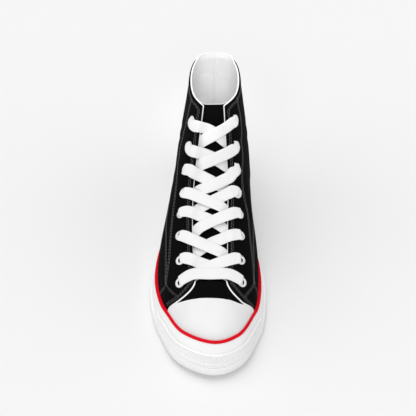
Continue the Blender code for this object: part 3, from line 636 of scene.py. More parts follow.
canvas = canvasFinish()
lining = liningFinish()
whiteRubber = rubberFinish("white_foxing_rubber", 0.80, 0.86, 0.55)
capRubber = rubberFinish("white_cap_rubber", 0.70, 0.74, 0.50, 0.00002, specular=0.15)
bumperRubber = rubberFinish("white_bumper_rubber", 0.79, 0.85, 0.62)
treadRubber = rubberFinish("white_tread_rubber", 0.76, 0.83, 0.66, 0.00006)
redRubber = rubberFinish("red_stripe_rubber", (0.60, 0.0, 0.008), (0.70, 0.0, 0.012), 0.5, 0.00002, 0.08)
laceCloth = laceFinish()
thread = threadFinish()
metal = metalFinish()
print("finishes made")

# Upper

upper = {
    "canvasLift": 0.0009, "canvasThick": 0.0013, "vampThick": 0.0006, "vampUnder": 0.3, "foot": -0.02,
    "liningLift": -0.0004, "liningThick": 0.0012, "liningRise": 0.0006, "liningDrop": 0.0014,
    "panelLift": 0.0014, "panelThick": 0.0006, "panelMargin": 0.0018, "eyestayFoot": {-1: 0.43, 1: 0.42},
    "quarterRound": 0.00028, "liningRound": 0.0003, "clothRound": 0.0002,
    "rimDrop": 0.015, "rimRoll": 0.0019, "rimFade": (0.8, 1.9), "stripEdge": 0.70,
}
# Middles of the double seams and of the front edge's seam by side, as u, v places; u as on the outer side
seams = {
    "eyestay": {
        -1: ((4.126, 0.988), (4.183, 0.884), (4.35, 0.783), (4.48, 0.697), (4.69, 0.61), (5.1, 0.578),
             (5.68, 0.618), (6.51, 0.66), (7.29, 0.65), (8.04, 0.603), (8.62, 0.54), (9.10, 0.359)),
        1: ((4.128, 0.997), (4.2, 0.911), (4.333, 0.824), (4.74, 0.734), (5.27, 0.694), (5.89, 0.714),
            (6.44, 0.743), (6.83, 0.723), (7.23, 0.635), (7.9, 0.566), (8.41, 0.482), (8.97, 0.37))},
    "side": {
        -1: ((9.11, 0.33), (8.66, 0.436), (8.2, 0.475), (7.7, 0.492), (7.04, 0.471), (6.0, 0.43),
             (5.0, 0.385), (4.0, 0.35), (3.0, 0.33), (2.0, 0.32), (0.76, 0.31)),
        1: ((8.96, 0.35), (8.6, 0.409), (8.2, 0.437), (7.7, 0.462), (7.04, 0.455), (6.0, 0.425),
            (5.0, 0.385), (4.0, 0.35), (3.0, 0.33), (2.0, 0.32), (0.76, 0.31))},
    "foot": {
        -1: ((9.13, 0.352), (9.565, 0.393), (9.86, 0.433)),
        1: ((9.02, 0.375), (9.5, 0.412), (9.82, 0.426))},
    "drop": {
        -1: ((9.084, 0.303), (8.86, 0.15), (8.66, 0.01)),
        1: ((8.96, 0.351), (8.776, 0.184), (8.65, 0.01))},
    "front": {
        -1: ((9.81, 0.88), (9.876, 0.625), (9.911, 0.434), (9.8, 0.22), (9.678, 0.03)),
        1: ((9.794, 0.862), (9.828, 0.615), (9.849, 0.418), (9.76, 0.22), (9.645, 0.03))},
}


def sideSeam(name, side):
    return lineOn(seamLine(seams[name][side]), side)


def eyestayLines(side):  # the eyestay's edge at the throat and its edge along the seam
    outline = np.array([(u, 1.0) for u in np.linspace(cornerU, quarterU, 60)]
                       + [(quarterU, v) for v in np.linspace(0.99, upper["eyestayFoot"][side], 16)])
    seam = shiftLine(sideSeam("eyestay", side), -side * upper["panelMargin"])
    seam[0, 1] = 1.0
    return lineOn(outline, side), seam


eyestays = {side: eyestayLines(side) for side in sides}


def clothLift(u, v):  # height of the outermost cloth over the skin
    u, v = np.broadcast_arrays(np.asarray(u, float), np.asarray(v, float))
    onPanel = np.abs(fromHeel(u)) <= upper["stripEdge"]
    for outline, seam in eyestays.values():
        onPanel |= insideLoop(np.concatenate([outline, seam[::-1]]), np.mod(u, fullTurn), v)
    return np.where(onPanel, upper["panelLift"], upper["canvasLift"])


def backRim(u):  # 1 round the back of the collar, 0 from its sides on
    return 1 - smoothStep(np.abs(fromHeel(u)), *upper["rimFade"])


def makeQuarter(side):
    def place(s, t):
        share = s if side < 0 else 1 - s
        v = upper["foot"] + (1 - upper["rimDrop"] * backRim(quarterU * share) - upper["foot"]) * t
        return onUpper(onSide(onSide(frontEdge(v, side), side) * share, side), v, upper["canvasLift"])
    sheetPiece("quarter_" + sides[side], 190, 64, place, upper["canvasThick"], upper["quarterRound"],
               canvas, "upper")


def makeVamp():
    edge = quarterU - upper["vampUnder"]

    def place(s, t):
        return onUpper(edge + (fullTurn - 2 * edge) * s, upper["foot"] + (1 - upper["foot"]) * t, 0)
    sheetPiece("canvas_vamp", 90, 40, place, upper["vampThick"], upper["clothRound"], canvas, "upper")


def makeLining():
    shape = {"columns": 420, "rows": 80, "low": 0.12, "seamDeep": 0.0007, "seamRidge": 0.0004,
             "crowd": 0.008, "crowdMiddle": 0.986, "crowdReach": 0.01, "brim": 0.998,
             "roll": (0.984, 0.995), "bend": 0.97, "footOut": 0.15, "footIn": 0.05}
    # Folds of the lining: u, v, reach round, reach up, height, slant
    folds = ((0.75, 0.83, 0.55, 0.010, 0.0005, 0.02), (-0.72, 0.80, 0.45, 0.010, -0.0005, -0.015),
             (1.1, 0.63, 0.5, 0.014, 0.0005, 0.03), (0.0, 0.515, 1.3, 0.010, 0.0007, 0.0),
             (0.1, 0.475, 1.2, 0.009, -0.0007, 0.0), (-0.1, 0.44, 1.3, 0.011, 0.0009, 0.0))

    def place(s, t):
        u = fullTurn * s
        turn = fromHeel(u)
        share = np.clip((t - shape["low"]) / (1 - shape["low"]), 0, 1)
        share = share + shape["crowd"] * bump(share, shape["crowdMiddle"], shape["crowdReach"])
        share = np.where(t >= 1, 1, np.minimum(share, shape["brim"]))
        lift = upper["liningLift"] + shape["seamDeep"] * bump(turn, 0, 0.05)
        lift = lift - shape["seamRidge"] * bump(turn, -0.13, 0.06)
        for foldU, foldV, around, up, height, slant in folds:
            lift += height * bump(turn, foldU, around) * bump(share, foldV + slant * (turn - foldU), up)
        lift += upper["rimRoll"] * backRim(u) * smoothStep(share, *shape["roll"])
        top = onUpper(u, share, lift)
        walls = 1 - smoothStep(np.abs(turn), quarterU - shape["footOut"], quarterU + shape["footIn"])
        rise = upper["liningRise"] * walls - upper["liningDrop"] * (1 - walls)
        top[..., 2] += rise * smoothStep(share, shape["bend"], 1)
        base = soleRing(u, featherInset(u) - upper["liningLift"], sole["footbed"] + last["fit"])
        low = onUpper(u, 0, lift)
        blend = np.clip(t / shape["low"], 0, 1)[..., None]
        return np.where((t < shape["low"])[..., None], base * (1 - blend) + low * blend, top)
    sheetPiece("lining", shape["columns"], shape["rows"], place, upper["liningThick"], upper["liningRound"],
               lining, "upper", closed=True)


def makePanel(name, first, second, rows, columns):  # a cloth panel stitched on between two lines
    lines = evenly(first, 0.0005), evenly(second, 0.0005)

    def place(s, t):
        left, right = (lineAt(line, np.arange(len(line)), t * (len(line) - 1)) for line in lines)
        u, v = np.moveaxis(left * (1 - s)[..., None] + right * s[..., None], -1, 0)
        return onUpper(u, v, upper["panelLift"])
    sheetPiece(name, columns, rows, place, upper["panelThick"], upper["clothRound"], canvas, "upper")


def makeHeelStrip():
    rise = np.linspace(upper["foot"], 1 - upper["rimDrop"], 60)
    first, second = (np.stack([np.full(rise.shape, side * upper["stripEdge"]), rise], -1) for side in sides)
    makePanel("heel_strip", first, second, 90, 24)


def makePiping(side):  # white edge that comes out along the quarter's front edge
    shape = {"ahead": 0.0004, "lift": 0.0004, "wide": 0.0015, "high": 0.0012, "section": 12, "overlap": 0.02}
    rise = np.linspace(1.0, 0.0, 60)
    line = evenly(np.stack([frontEdge(rise, side) - side * shape["overlap"], rise], -1), 0.0012)
    u, v = line[:, 0], line[:, 1]
    points, ups = onUpper(u, v, shape["lift"]), skinNormal(u, v)
    away = np.cross(ups, unit(np.gradient(points, axis=0))) * -side
    points += away * shape["ahead"]

    def place(s, t):
        index = np.rint(t * (len(points) - 1)).astype(int)
        angle = 2 * math.pi * s
        return (points[index] + away[index] * (np.cos(angle) * shape["wide"] / 2)[..., None]
                + ups[index] * (np.sin(angle) * shape["high"] / 2)[..., None])
    piece = laidGrid("piping_" + sides[side], shape["section"], len(points) - 1, place, True)
    editMesh(piece, lambda: bpy.ops.mesh.fill_holes(sides=0), turnOut)
    smoothShade(piece, 60)
    dress(piece, lining, "upper", "upper")


makeQuarter(-1)
makeQuarter(1)
makeVamp()
makeLining()
makeHeelStrip()
for side in sides:
    first, second = eyestays[side][::side]
    makePanel("eyestay_" + sides[side], first[::-1], second[::-1], 190, 34)
    makePiping(side)
print("upper made")

# Sole


def ringPiece(name, rings, columns, closedUp, material, slotName):
    # each ring gives its points for an array of u; the rings close on themselves like a tyre
    def place(s, t):
        levels = np.array([ring(fullTurn * s[0]) for ring in rings])
        return np.concatenate([levels, levels[:1]]) if closedUp else levels
    piece = laidGrid(name, columns, len(rings) - (not closedUp), place, True)
    smoothShade(piece, 35)
    dress(piece, material, slotName, slotName)


def stripeRing(inset, rise):
    def ring(u):
        point = soleOutline(u, inset(u))[0]
        return toFrame(point[..., 0], point[..., 1], foxingTop(point[..., 1]) + last["fit"] + rise)
    return ring


tread = {"columns": 720, "steps": 56, "depth": 0.0013, "pitch": 0.0115, "wide": 0.0030, "zigzag": 0.016,
         "rim": 0.0065, "shift": 0.7, "slope": 0.0005, "rimSlope": 0.001, "waist": 0.66, "waistReach": 0.05}


def acrossSole(u, inset, share):  # from the edge, at share 0, to the line down the sole's middle, at share 1
    point, other = soleOutline(u, inset)[0], soleOutline(fullTurn - u, inset)[0]
    return point * (1 - share / 2) + other * (share / 2)


def treadDepth(x, along, away):  # zigzag grooves inside a plain rim
    bend = np.abs(np.mod(x / tread["zigzag"] + 0.5, 1) - 0.5) * 2
    place = np.mod(along / tread["pitch"] + tread["shift"] * bend, 1) * tread["pitch"]
    inner = tread["wide"] / 2 - np.abs(place - tread["pitch"] / 2)
    groove = smoothStep(inner, -tread["slope"], tread["slope"])
    waist = 1 - bump(along / last["length"], tread["waist"], tread["waistReach"])
    return tread["depth"] * groove * waist * smoothStep(away, tread["rim"] - tread["rimSlope"], tread["rim"])


def outsoleRing(inset, height, share=0.0, grooved=False):
    def ring(u):
        point = acrossSole(u, inset, share)
        rise = height
        if grooved:
            away = np.linalg.norm(point - soleOutline(u)[0], axis=-1)
            rise = height + treadDepth(point[..., 0], point[..., 1], away)
        return toFrame(point[..., 0], point[..., 1], underside(point[..., 1]) + rise)
    return ring


def makeOutsole():
    edge, lip, high = sole["edge"], sole["lip"], sole["outsole"]
    rings = [outsoleRing(lip, high, share) for share in (1.0, 0.5, 0.2, 0.0)]
    rings += [outsoleRing(lip * 0.3, high - lip * 0.3), outsoleRing(0, high - lip), outsoleRing(0, edge),
              outsoleRing(edge * 0.3, edge * 0.3)]
    rings += [outsoleRing(edge, 0.0, share, True) for share in np.linspace(0, 1, tread["steps"])]
    ringPiece("outsole_tread", rings, tread["columns"], False, treadRubber, "outsole")


def makeSole():
    foot, high, bend = sole["outsole"] + last["fit"], sole["stripeHeight"], sole["stripeRound"]
    low = ((0.010, foot), (sole["lip"], foot), (sole["lip"], foot + sole["ribHeight"]))  # inset and height
    ringPiece("foxing", [
        *(lambda u, row=row: soleRing(u, *row) for row in low),
        *(lambda u, share=share: foxingRing(u, share) for share in (0, 0.33, 0.66, 0.96)),
        lambda u: foxingRing(u, 1, sole["top"]),
        lambda u: foxingRing(u, 1, wallInset(u) - foxingInset(u, 1)),
        lambda u: soleRing(u, wallInset(u), sole["footbed"]),
    ], 480, True, whiteRubber, "midsole")
    front = ((bend / 2, 0), (bend * 0.1, high * 0.25), (0, high * 0.5), (bend * 0.3, high * 0.8),
             (bend, high - last["fit"]))  # inset from the foxing's top and height over it
    ringPiece("red_stripe", [
        stripeRing(wallInset, 0),
        *(stripeRing(lambda u, inset=inset: foxingInset(u, 1) + inset, rise) for inset, rise in front),
        stripeRing(wallInset, high - last["fit"]),
    ], 480, True, redRubber, "foxing_stripe")


makeOutsole()
makeSole()
print("sole made")


def makeBumper():
    shape = {"reach": 3.0, "taper": 0.5, "thinEnd": 0.25, "rows": 60, "columns": 560, "diamond": 0.0030,
             "depth": 0.00055, "upright": 0.75, "sunk": 0.0008}
    span = sole["bumperHigh"] - sole["bumperLow"]

    def place(s, t):
        u = toeU + shape["reach"] * (2 * s - 1)
        fade = np.clip((shape["reach"] - np.abs(u - toeU)) / shape["taper"], shape["thinEnd"], 1)
        ridge = 1 - 0.4 * bump(t, 0, 0.05) + 0.3 * bump(t, 0.91, 0.03) - 0.97 * smoothStep(t, 0.91, 1.0)
        base = foxingRing(u, sole["bumperLow"] + t * span, -last["fit"] - sole["bumperThick"] * ridge * fade)
        point, outward = soleOutline(u)
        length, height = runLength(point[0]), t * sole["foxing"] * span * shape["upright"]
        first, second = (length + height) / shape["diamond"], (length - height) / shape["diamond"]
        grooves = np.minimum(np.abs(first - np.rint(first)), np.abs(second - np.rint(second)))
        relief = smoothStep(grooves, 0.04, 0.18) * smoothStep(t, 0.14, 0.19)
        relief = relief * (1 - smoothStep(t, 0.83, 0.88))
        drop = shape["depth"] * (1 - relief) * (smoothStep(t, 0.14, 0.17) * (1 - smoothStep(t, 0.85, 0.88)))
        base[..., :2] -= outward * (drop * fade)[..., None]
        return base
    piece = laidGrid("toe_bumper_texture", shape["columns"], shape["rows"], place)
    thicken(piece, sole["bumperThick"] + shape["sunk"])
    smoothShade(piece, 30)
    dress(piece, bumperRubber, "toe_bumper", "toe_bumper")


def makeToeCap():
    cap = {"margin": 0.04, "seat": 0.0005, "thick": 0.0013, "edge": 0.0005}

    def place(s, t):
        v = t * tableCurve(capTable, quarterU + (fullTurn - 2 * quarterU) * s)
        first, second = frontEdge(v, -1) + cap["margin"], frontEdge(v, 1) - cap["margin"]
        return onUpper(first + (second - first) * s, v, cap["seat"] + cap["thick"])
    sheetPiece("toe_cap_rubber", 160, 60, place, cap["thick"], cap["edge"], capRubber, "toe_cap", segments=3)


makeBumper()
makeToeCap()
frame["nodes"]["insole"].data.materials.clear()
frame["nodes"]["insole"].data.materials.append(lining)
print("bumper and toe cap made")

# Throat: places beside its edge

throat = {
    # rows of eyelets: share of the throat's side, distance of the hole's middle from the edge
    "rows": ((0.101, 0.0105), (0.232, 0.0094), (0.353, 0.0082), (0.474, 0.0080),
             (0.592, 0.0104), (0.721, 0.0114), (0.868, 0.0114), (0.992, 0.0130)),
    "flange": 0.0095, "bore": 0.0048, "barrel": 0.0006, "rim": 0.0009,
}
rowShares, rowInsets = np.array(throat["rows"]).T
rowCount = len(rowShares)


def throatLengths(side):
    u = onSide(np.linspace(cornerU, quarterU, 400), side)
    return u, runLength(topEdge(u))


throatMap = {side: throatLengths(side) for side in sides}
rowLengths = {side: throatMap[side][1][-1] * rowShares for side in sides}


def throatU(side, length):
    u, lengths = throatMap[side]
    return np.interp(length, lengths, u)


def besideEdge(side, length, distance):
    # u and v at a distance from the throat's edge, square to it, for a side and arrays of lengths
    length, distance = np.broadcast_arrays(np.asarray(length, float), np.asarray(distance, float))
    low, high = sorted((onSide(cornerU, side), onSide(quarterU, side)))
    wallLow, wallHigh = sorted((onSide(0.0, side), onSide(quarterU, side)))
    uEdge = throatU(side, length)
    edge = topEdge(uEdge)
    ahead, behind = (topEdge(np.clip(uEdge + step, low, high - 1e-6)) for step in (0.02, -0.02))
    tangent = unit((ahead - behind) * -side)

    def miss(u, v, share):
        away = skin(u, v) - edge
        return (away * tangent).sum(-1), np.linalg.norm(away, axis=-1) - distance * share
    u, v, h = uEdge.copy(), np.ones(uEdge.shape) - 0.02, 1e-4
    for share in np.repeat((0.25, 0.5, 0.75, 1.0, 1.0, 1.0), 4):
        f, g = miss(u, v, share)
        (fu, gu), (fv, gv) = miss(u + h, v, share), miss(u, v + h, share)
        a, b, c, d = (fu - f) / h, (fv - f) / h, (gu - g) / h, (gv - g) / h
        det = a * d - b * c
        det = np.where(np.abs(det) < 1e-9, 1e-9, det)
        u = np.clip(u - np.clip((f * d - g * b) / det, -0.5, 0.5), wallLow, wallHigh)
        v = np.clip(v - np.clip((a * g - c * f) / det, -0.12, 0.12), 0.0, 1.0)
    return u, v


seats = {}
for side in sides:
    u, v = besideEdge(side, rowLengths[side], rowInsets)
    for row, seat in enumerate(zip(onUpper(u, v, 0), skinNormal(u, v))):
        seats[side, row] = seat


def makeEyelets():
    shape = {"segments": 40, "foot": -0.0024, "lap": 0.0001}
    bore, flange, rim, barrel = throat["bore"] / 2, throat["flange"] / 2, throat["rim"], throat["barrel"]
    profile = np.array([
        (bore, shape["foot"]), (bore, rim * 0.45), (bore + 0.0003, rim * 0.86), (bore + 0.0009, rim),
        (flange - 0.0007, rim * 0.86), (flange - 0.0001, rim * 0.50), (flange, 0.0003),
        (flange - 0.0003, shape["lap"]), (bore + barrel, shape["lap"]), (bore + barrel, shape["foot"])])

    def place(s, t):
        angle = 2 * math.pi * s
        radius, height = profile[np.rint(t * len(profile)).astype(int) % len(profile)].transpose(2, 0, 1)
        return np.stack([radius * np.cos(angle), radius * np.sin(angle), height], -1)
    for side, label in sides.items():
        template = laidGrid("eyelet_template", shape["segments"], len(profile), place, True)
        frames = []
        for row in range(rowCount):
            point, normal = seats[side, row]
            turn = np.array(Vector(normal).to_track_quat("Z", "Y").to_matrix())
            frames.append((point + normal * upper["panelLift"], *turn.T))
        rings = copiesAlong("eyelet_rings_" + label, template, frames)
        smoothShade(rings, 50)
        dress(rings, metal, "eyelet", *["eyelet_{}_{}".format(label, row + 1) for row in range(rowCount)])


makeEyelets()
print("eyelets made")


tongue = {
    "wing": 0.0130, "arch": 0.45, "gap": 0.0025, "rise": 0.0012, "rows": 46, "wings": 9,
    "face": 0.0012, "back": 0.0009, "faceRise": 0.0022, "backRise": 0.0024, "crown": 0.6, "tuck": 0.35,
}


def tongueGrid():
    depth = last["wall"] + tongue["gap"]
    uEdge = np.linspace(cornerU + 0.05, quarterU - 0.1, tongue["rows"])
    wings = np.linspace(tongue["wing"], 0.002, tongue["wings"])
    halves = []
    for side in sides:
        u, lengths = throatMap[side]
        along = np.interp(uEdge, np.linspace(cornerU, quarterU, len(u)), lengths)
        placeU, placeV = besideEdge(side, along[:, None], wings[None, :])
        halves.append(skin(placeU, placeV) - skinNormal(placeU, placeV) * depth)
    outer, inner = halves
    start, end = outer[:, -1:], inner[:, -1:]
    reach = np.linalg.norm(end - start, axis=-1, keepdims=True) * tongue["arch"]
    t = np.linspace(0, 1, 22)[None, 1:-1, None]
    leave, arrive = unit(start - outer[:, -2:-1]) * reach, unit(inner[:, -2:-1] - end) * reach
    middle = hermite(t, start, leave, end, arrive)
    rows = np.concatenate([outer, middle, inner[:, ::-1]], axis=1)
    rows[:3, :, 2] += tongue["rise"] * np.array([1.0, 0.5, 0.15])[:, None]
    u = np.linspace(quarterU - tongue["tuck"], fullTurn - quarterU + tongue["tuck"], rows.shape[1])
    tail = [skin(u, v) - skinNormal(u, v) * (last["wall"] + 2 * last["fit"]) for v in (0.93, 0.86)]
    return np.concatenate([rows, np.array(tail)])


def makeTongue(name, material, thick, drop, rise):
    grid = tongueGrid()
    out = unit(np.cross(np.gradient(grid, axis=1), np.gradient(grid, axis=0)))
    out *= np.sign((out[..., 2:]).mean())
    grid = grid - out * drop
    crown = 1 - tongue["crown"] * np.linspace(-1, 1, grid.shape[1]) ** 2
    grid[:2, :, 2] += rise * np.array([1.0, 0.3])[:, None] * crown
    steps = np.linalg.norm(np.diff(grid, axis=0), axis=2).mean(1)
    knots = np.concatenate([[0], np.cumsum(steps)])[::-1]
    grid, knots = grid[::-1], knots[0] - knots
    count = grid.shape[1]

    def place(s, t):  # from the foot up
        row = np.interp(t * knots[-1], knots, np.arange(len(grid)))
        column = s * (count - 1)
        i, j = np.minimum(row.astype(int), len(grid) - 2), np.minimum(column.astype(int), count - 2)
        a, b = (row - i)[..., None], (column - j)[..., None]
        return ((grid[i, j] * (1 - b) + grid[i, j + 1] * b) * (1 - a)
                + (grid[i + 1, j] * (1 - b) + grid[i + 1, j + 1] * b) * a)
    piece = laidGrid(name, count - 1, 96, place)
    applyModifier(piece, "SMOOTH", factor=0.5, iterations=3)
    thicken(piece, thick, upper["liningRound"])
    smoothShade(piece)
    dress(piece, material, "tongue", "tongue")


makeTongue("canvas_tongue", canvas, tongue["face"], 0.0, tongue["faceRise"])
makeTongue("tongue_back", lining, tongue["back"], tongue["face"] + 0.0001, tongue["backRise"])
print("tongue made")

# Laces

lace = {
    "width": 0.0110, "thick": 0.0013, "lift": 0.0006, "barRise": 0.0042, "steps": 100, "section": 20,
    "overInner": (0, 1, 2, 4, 6),  # crossings where the arm that ends on the inner side lies on top
    # Each crossing's arms, by the side they end on, in millimetres along the throat: how far above its lower
    # eyelet an arm comes out from under the edge, its sag towards the toe halfway, how far below its upper
    # eyelet it crosses the other edge and nears the ring, and how far its end turns up over the ring
    "arms": {
        -1: ((6.1, -1.2, 2.2, 2.6, 2.4), (4.0, -1.3, 3.8, 3.0, 3.8), (2.5, 0, 2.3, 0.5, 0),
             (1.6, 0, 2.8, 1.6, 0), (3.8, -1.9, 1.6, -0.3, 0), (2.5, 0, 7.0, 2.5, 0),
             (5.4, -1.0, 2.5, -0.4, 0)),
        1: ((4.6, 1.0, 1.9, -0.4, 5.4), (3.4, 0.8, 4.1, 2.0, 5.0), (-0.4, 1.6, 6.4, 2.4, 5.8),
            (0.3, -0.8, 1.2, -0.9, 0), (0.7, -1.3, 3.7, 0.5, 0), (4.6, -1.9, 3.6, 0.9, 0),
            (5.2, -1.0, 2.8, 0, 0)),
    },
    # how far the lace hides each hole, by row, and how far a turned-up end keeps in from its hole's middle
    "cover": (0.0, 0.0, 0.0014, 0.0002, 0.0004, -0.0004, -0.0011, -0.0012), "pull": (0.0003, 0.0008, 0.0006),
    # height of the upper and the lower arm over the edges' middle level, by share of the way across, in
    # millimetres
    "upperArm": ((0.2, 0.9), (0.5, 1.6), (0.8, 2.2)), "lowerArm": ((0.2, -1.5), (0.5, -0.1), (0.8, 0.1)),
}


laceWide, laceThick = lace["width"], lace["thick"]
laceOver = upper["panelLift"] + lace["lift"] + laceThick / 2  # middle of a lace that lies on the eyestay


def edgePoint(side, length):
    return topEdge(np.array([throatU(side, length)]))[0]


def besideLift(side, length, distance, lift):
    u, v = besideEdge(side, np.array([length]), np.array([distance]))
    normal = skinNormal(u, v)[0]
    return onUpper(u, v, 0)[0] + normal * lift, normal


def ribbon(name, stops):
    # stops: point, way up, width, thickness; the ribbon's side follows its path
    points, ups, widths, thicks = (np.array(column) for column in zip(*stops))
    chord = runLength(points, 0.6)
    place = np.linspace(0, chord[-1], lace["steps"] + 1)
    path, up, width, thick = (curveThrough(chord, values, place) for values in (points, ups, widths, thicks))
    tangent = unit(np.gradient(path, axis=0))
    sideways = unit(np.cross(up, tangent))
    up = np.cross(tangent, sideways)
    angle = np.linspace(0, 2 * math.pi, lace["section"] + 1)
    ringX = np.sign(np.cos(angle)) * np.abs(np.cos(angle)) ** 0.35
    ringZ = np.sign(np.sin(angle)) * np.abs(np.sin(angle)) ** 0.75

    def laid(s, t):
        i = np.rint(t * lace["steps"]).astype(int)
        j = np.rint(s * lace["section"]).astype(int)
        return (path[i] + sideways[i] * (ringX[j] * width[i] / 2)[..., None]
                + up[i] * (ringZ[j] * thick[i] / 2)[..., None])
    piece = laidGrid(name, lace["section"], lace["steps"], laid, True)
    editMesh(piece, lambda: bpy.ops.mesh.fill_holes(sides=0))
    smoothShade(piece, 60)
    return piece


def laidStops(side, *rows):  # stops beside the throat's edge: length, distance, lift, width, thickness
    return [(*besideLift(side, *row[:3]), *row[3:]) for row in rows]


def intoEyelet(side, row, nearDrop, turnUp):
    # the last stretch of a lace: over the ring and down into its hole, or turned up over the ring
    inset, level = rowInsets[row], rowLengths[side][row]
    hole, normal = seats[side, row]
    near = (level + nearDrop, inset - throat["flange"] / 2 + 0.0004, laceOver + 0.0002, laceWide, laceThick)
    if not turnUp:
        brink = (level + nearDrop * 0.3, inset + lace["cover"][row], laceOver + 0.0004,
                 laceWide * 0.86, laceThick * 1.1)
        return laidStops(side, near, brink) + [(hole + normal * 0.0006, normal, 0.0058, laceThick * 1.5),
                                               (hole - normal * 0.0022, normal, 0.0040, 0.0024)]
    pull = inset - lace["pull"][row]
    stops = laidStops(
        side, near,
        (level + nearDrop * 0.6, pull - 0.0015, laceOver + 0.0010, laceWide * 0.84, laceThick * 1.1),
        (level - turnUp * 0.3, pull, laceOver + 0.0008, laceWide * 0.62, laceThick * 1.1),
        (level - turnUp, pull + 0.0004, laceOver - 0.0006, laceWide * 0.42, laceThick))
    tip, tipUp = stops[-1][:2]
    return stops + [(tip - tipUp * 0.0014, tipUp, laceWide * 0.34, laceThick * 0.8)]


def lacePlug(side, row):  # the stretch that a turned-up end sends down through its hole
    hole, normal = seats[side, row]
    across = unit(np.cross(normal, (0.0, 0.0, 1.0)))
    return ribbon("lace_plug", [(hole + normal * height + across * 0.0001 * index, across, 0.0042, 0.0026)
                                for index, height in enumerate((0.0016, 0.0004, -0.0010, -0.0026))])


def laceArm(row, side):
    # from the eyelet below, out from under the throat's edge, over the other edge and into its eyelet
    end, low, inset = -side, rowLengths[side][row + 1], rowInsets[row + 1]
    rise, sag, drop, nearDrop, turnUp = (value / 1000 for value in lace["arms"][end][row])
    out, cross = low - rise, rowLengths[end][row] + drop
    inside = -(last["wall"] + laceThick / 2 + 0.0002)
    hole, normal = seats[side, row + 1]
    leave, leaveUp = besideLift(side, out, 0.0003, 0.0)
    leave = leave + unit(edgePoint(end, cross) - edgePoint(side, out)) * 0.0006
    arrive, arriveUp = besideLift(end, cross, 0.0006, 0.0)
    toeward = unit(edgePoint(end, cross + 0.004) - edgePoint(end, cross - 0.004))
    under = (low * 0.5 + out * 0.5, inset * 0.5, inside - 0.0005, laceWide * 0.9, laceThick)
    stops = [(hole - normal * 0.0034, normal, 0.0040, 0.0022), *laidStops(side, under),
             (leave + leaveUp * inside, leaveUp, laceWide, laceThick)]
    isOver = (side < 0) == (row in lace["overInner"])
    for share, height in lace["upperArm" if isOver else "lowerArm"]:
        up = unit(leaveUp * (1 - share) + arriveUp * share)
        point = leave * (1 - share) + arrive * share + up * height / 1000
        stops.append((point + toeward * (sag * 4 * share * (1 - share)), up, laceWide, laceThick))
    stops.append((arrive + arriveUp * laceOver, arriveUp, laceWide, laceThick))
    stops += intoEyelet(end, row, nearDrop, turnUp)
    return [ribbon("lace_arm", stops)] + ([lacePlug(end, row)] if turnUp else [])


def laceBar():
    halves, row = [], rowCount - 1
    for side in sides:
        length = rowLengths[side][row] - lace["barRise"]
        half = laidStops(side, (length, 0.0010, laceOver, laceWide, laceThick),
                         (length + lace["barRise"] * 0.45, rowInsets[row] * 0.55, laceOver + 0.0002,
                          laceWide, laceThick))
        halves.append(half + intoEyelet(side, row, -0.0004, 0)[1:])
    middle = (halves[0][0][0] + halves[1][0][0]) / 2 + np.array([0, 0, 0.0004])
    up = (halves[0][0][1] + halves[1][0][1]) / 2
    return ribbon("lace_arm", halves[0][::-1] + [(middle, up, laceWide, laceThick)] + halves[1])


def makeLaces():
    arms = [laceBar()]
    for row in range(rowCount - 1):
        arms += laceArm(row, 1) + laceArm(row, -1)
    crossings = ["lace_crossing_{}".format(row + 1) for row in range(rowCount - 1)]
    dress(joinPieces("flat_lace", arms), laceCloth, "lace", "lace_bar", *crossings)


makeLaces()
print("laces made")

# Stitching

stitching = {"long": 0.0029, "wide": 0.00052, "high": 0.00040, "pitch": 0.0032, "half": 0.0008,
             "segments": 7, "rings": 5, "edgeMargin": 0.0035, "heelU": 0.58}


def edgeSeam(side):  # middle of the double row beside the collar, the throat and the quarter's front edge
    margin = stitching["edgeMargin"]
    collarU = np.linspace(upper["stripEdge"] + 0.04, cornerU - 0.02, 80)
    collar = lineOn(shiftLine(np.stack([collarU, np.ones(80)], -1), margin), side)
    lengths = np.linspace(0.002, throatMap[side][1][-1] - 0.012, 70)
    beside = np.stack(besideEdge(side, lengths, margin), -1)
    throatEdge = topEdge(throatU(side, np.linspace(0, 0.02, 60)))
    collarEdge = topEdge(onSide(np.linspace(cornerU - 1.2, cornerU, 60), side))

    def clear(line, edgePoints):  # the part of a line that keeps its distance from the other edge
        points = skin(line[:, 0], line[:, 1])
        away = np.linalg.norm(points[:, None] - edgePoints[None], axis=-1).min(1)
        return line[away > margin * 1.15]
    front = sideSeam("front", side)
    collar, beside = clear(collar, throatEdge), clear(beside, collarEdge)
    return seamLine(np.concatenate([collar[::6], beside[::3], front[::6]]))


def stitchRow(line):
    u, v = line[:, 0], line[:, 1]
    points = onUpper(u, v, clothLift(u, v) + stitching["high"] * 0.25)
    ups = skinNormal(u, v)
    lengths = runLength(points)
    count = max(int(lengths[-1] / stitching["pitch"]), 1)
    middle = (np.arange(count) + 0.5) * lengths[-1] / count
    start, end = (lineAt(points, lengths, middle + reach) for reach in (-0.001, 0.001))
    forward = unit(end - start)
    side = unit(np.cross(lineAt(ups, lengths, middle), forward))
    return list(zip((start + end) / 2, side * stitching["wide"] / 2,
                    np.cross(forward, side) * stitching["high"] / 2, forward * stitching["long"] / 2))


def makeStitching(side):
    lines = [edgeSeam(side)] + [sideSeam(name, side) for name in ("eyestay", "side", "foot", "drop")]
    lines = [shiftLine(line, shift) for line in lines for shift in (-stitching["half"], stitching["half"])]
    lines.append(np.array([(stitching["heelU"] * -side, v) for v in np.linspace(0.99, 0.01, 60)]))
    frames = [frame for line in lines for frame in stitchRow(evenly(line, 0.0008))]
    deselectAll()
    bpy.ops.mesh.primitive_uv_sphere_add(segments=stitching["segments"], ring_count=stitching["rings"])
    piece = copiesAlong("stitching_" + sides[side], bpy.context.active_object, frames)
    smoothShade(piece, 80)
    dress(piece, thread, "upper", "upper")


for side in sides:
    makeStitching(side)
print("stitching made")

# Camera, light and floor

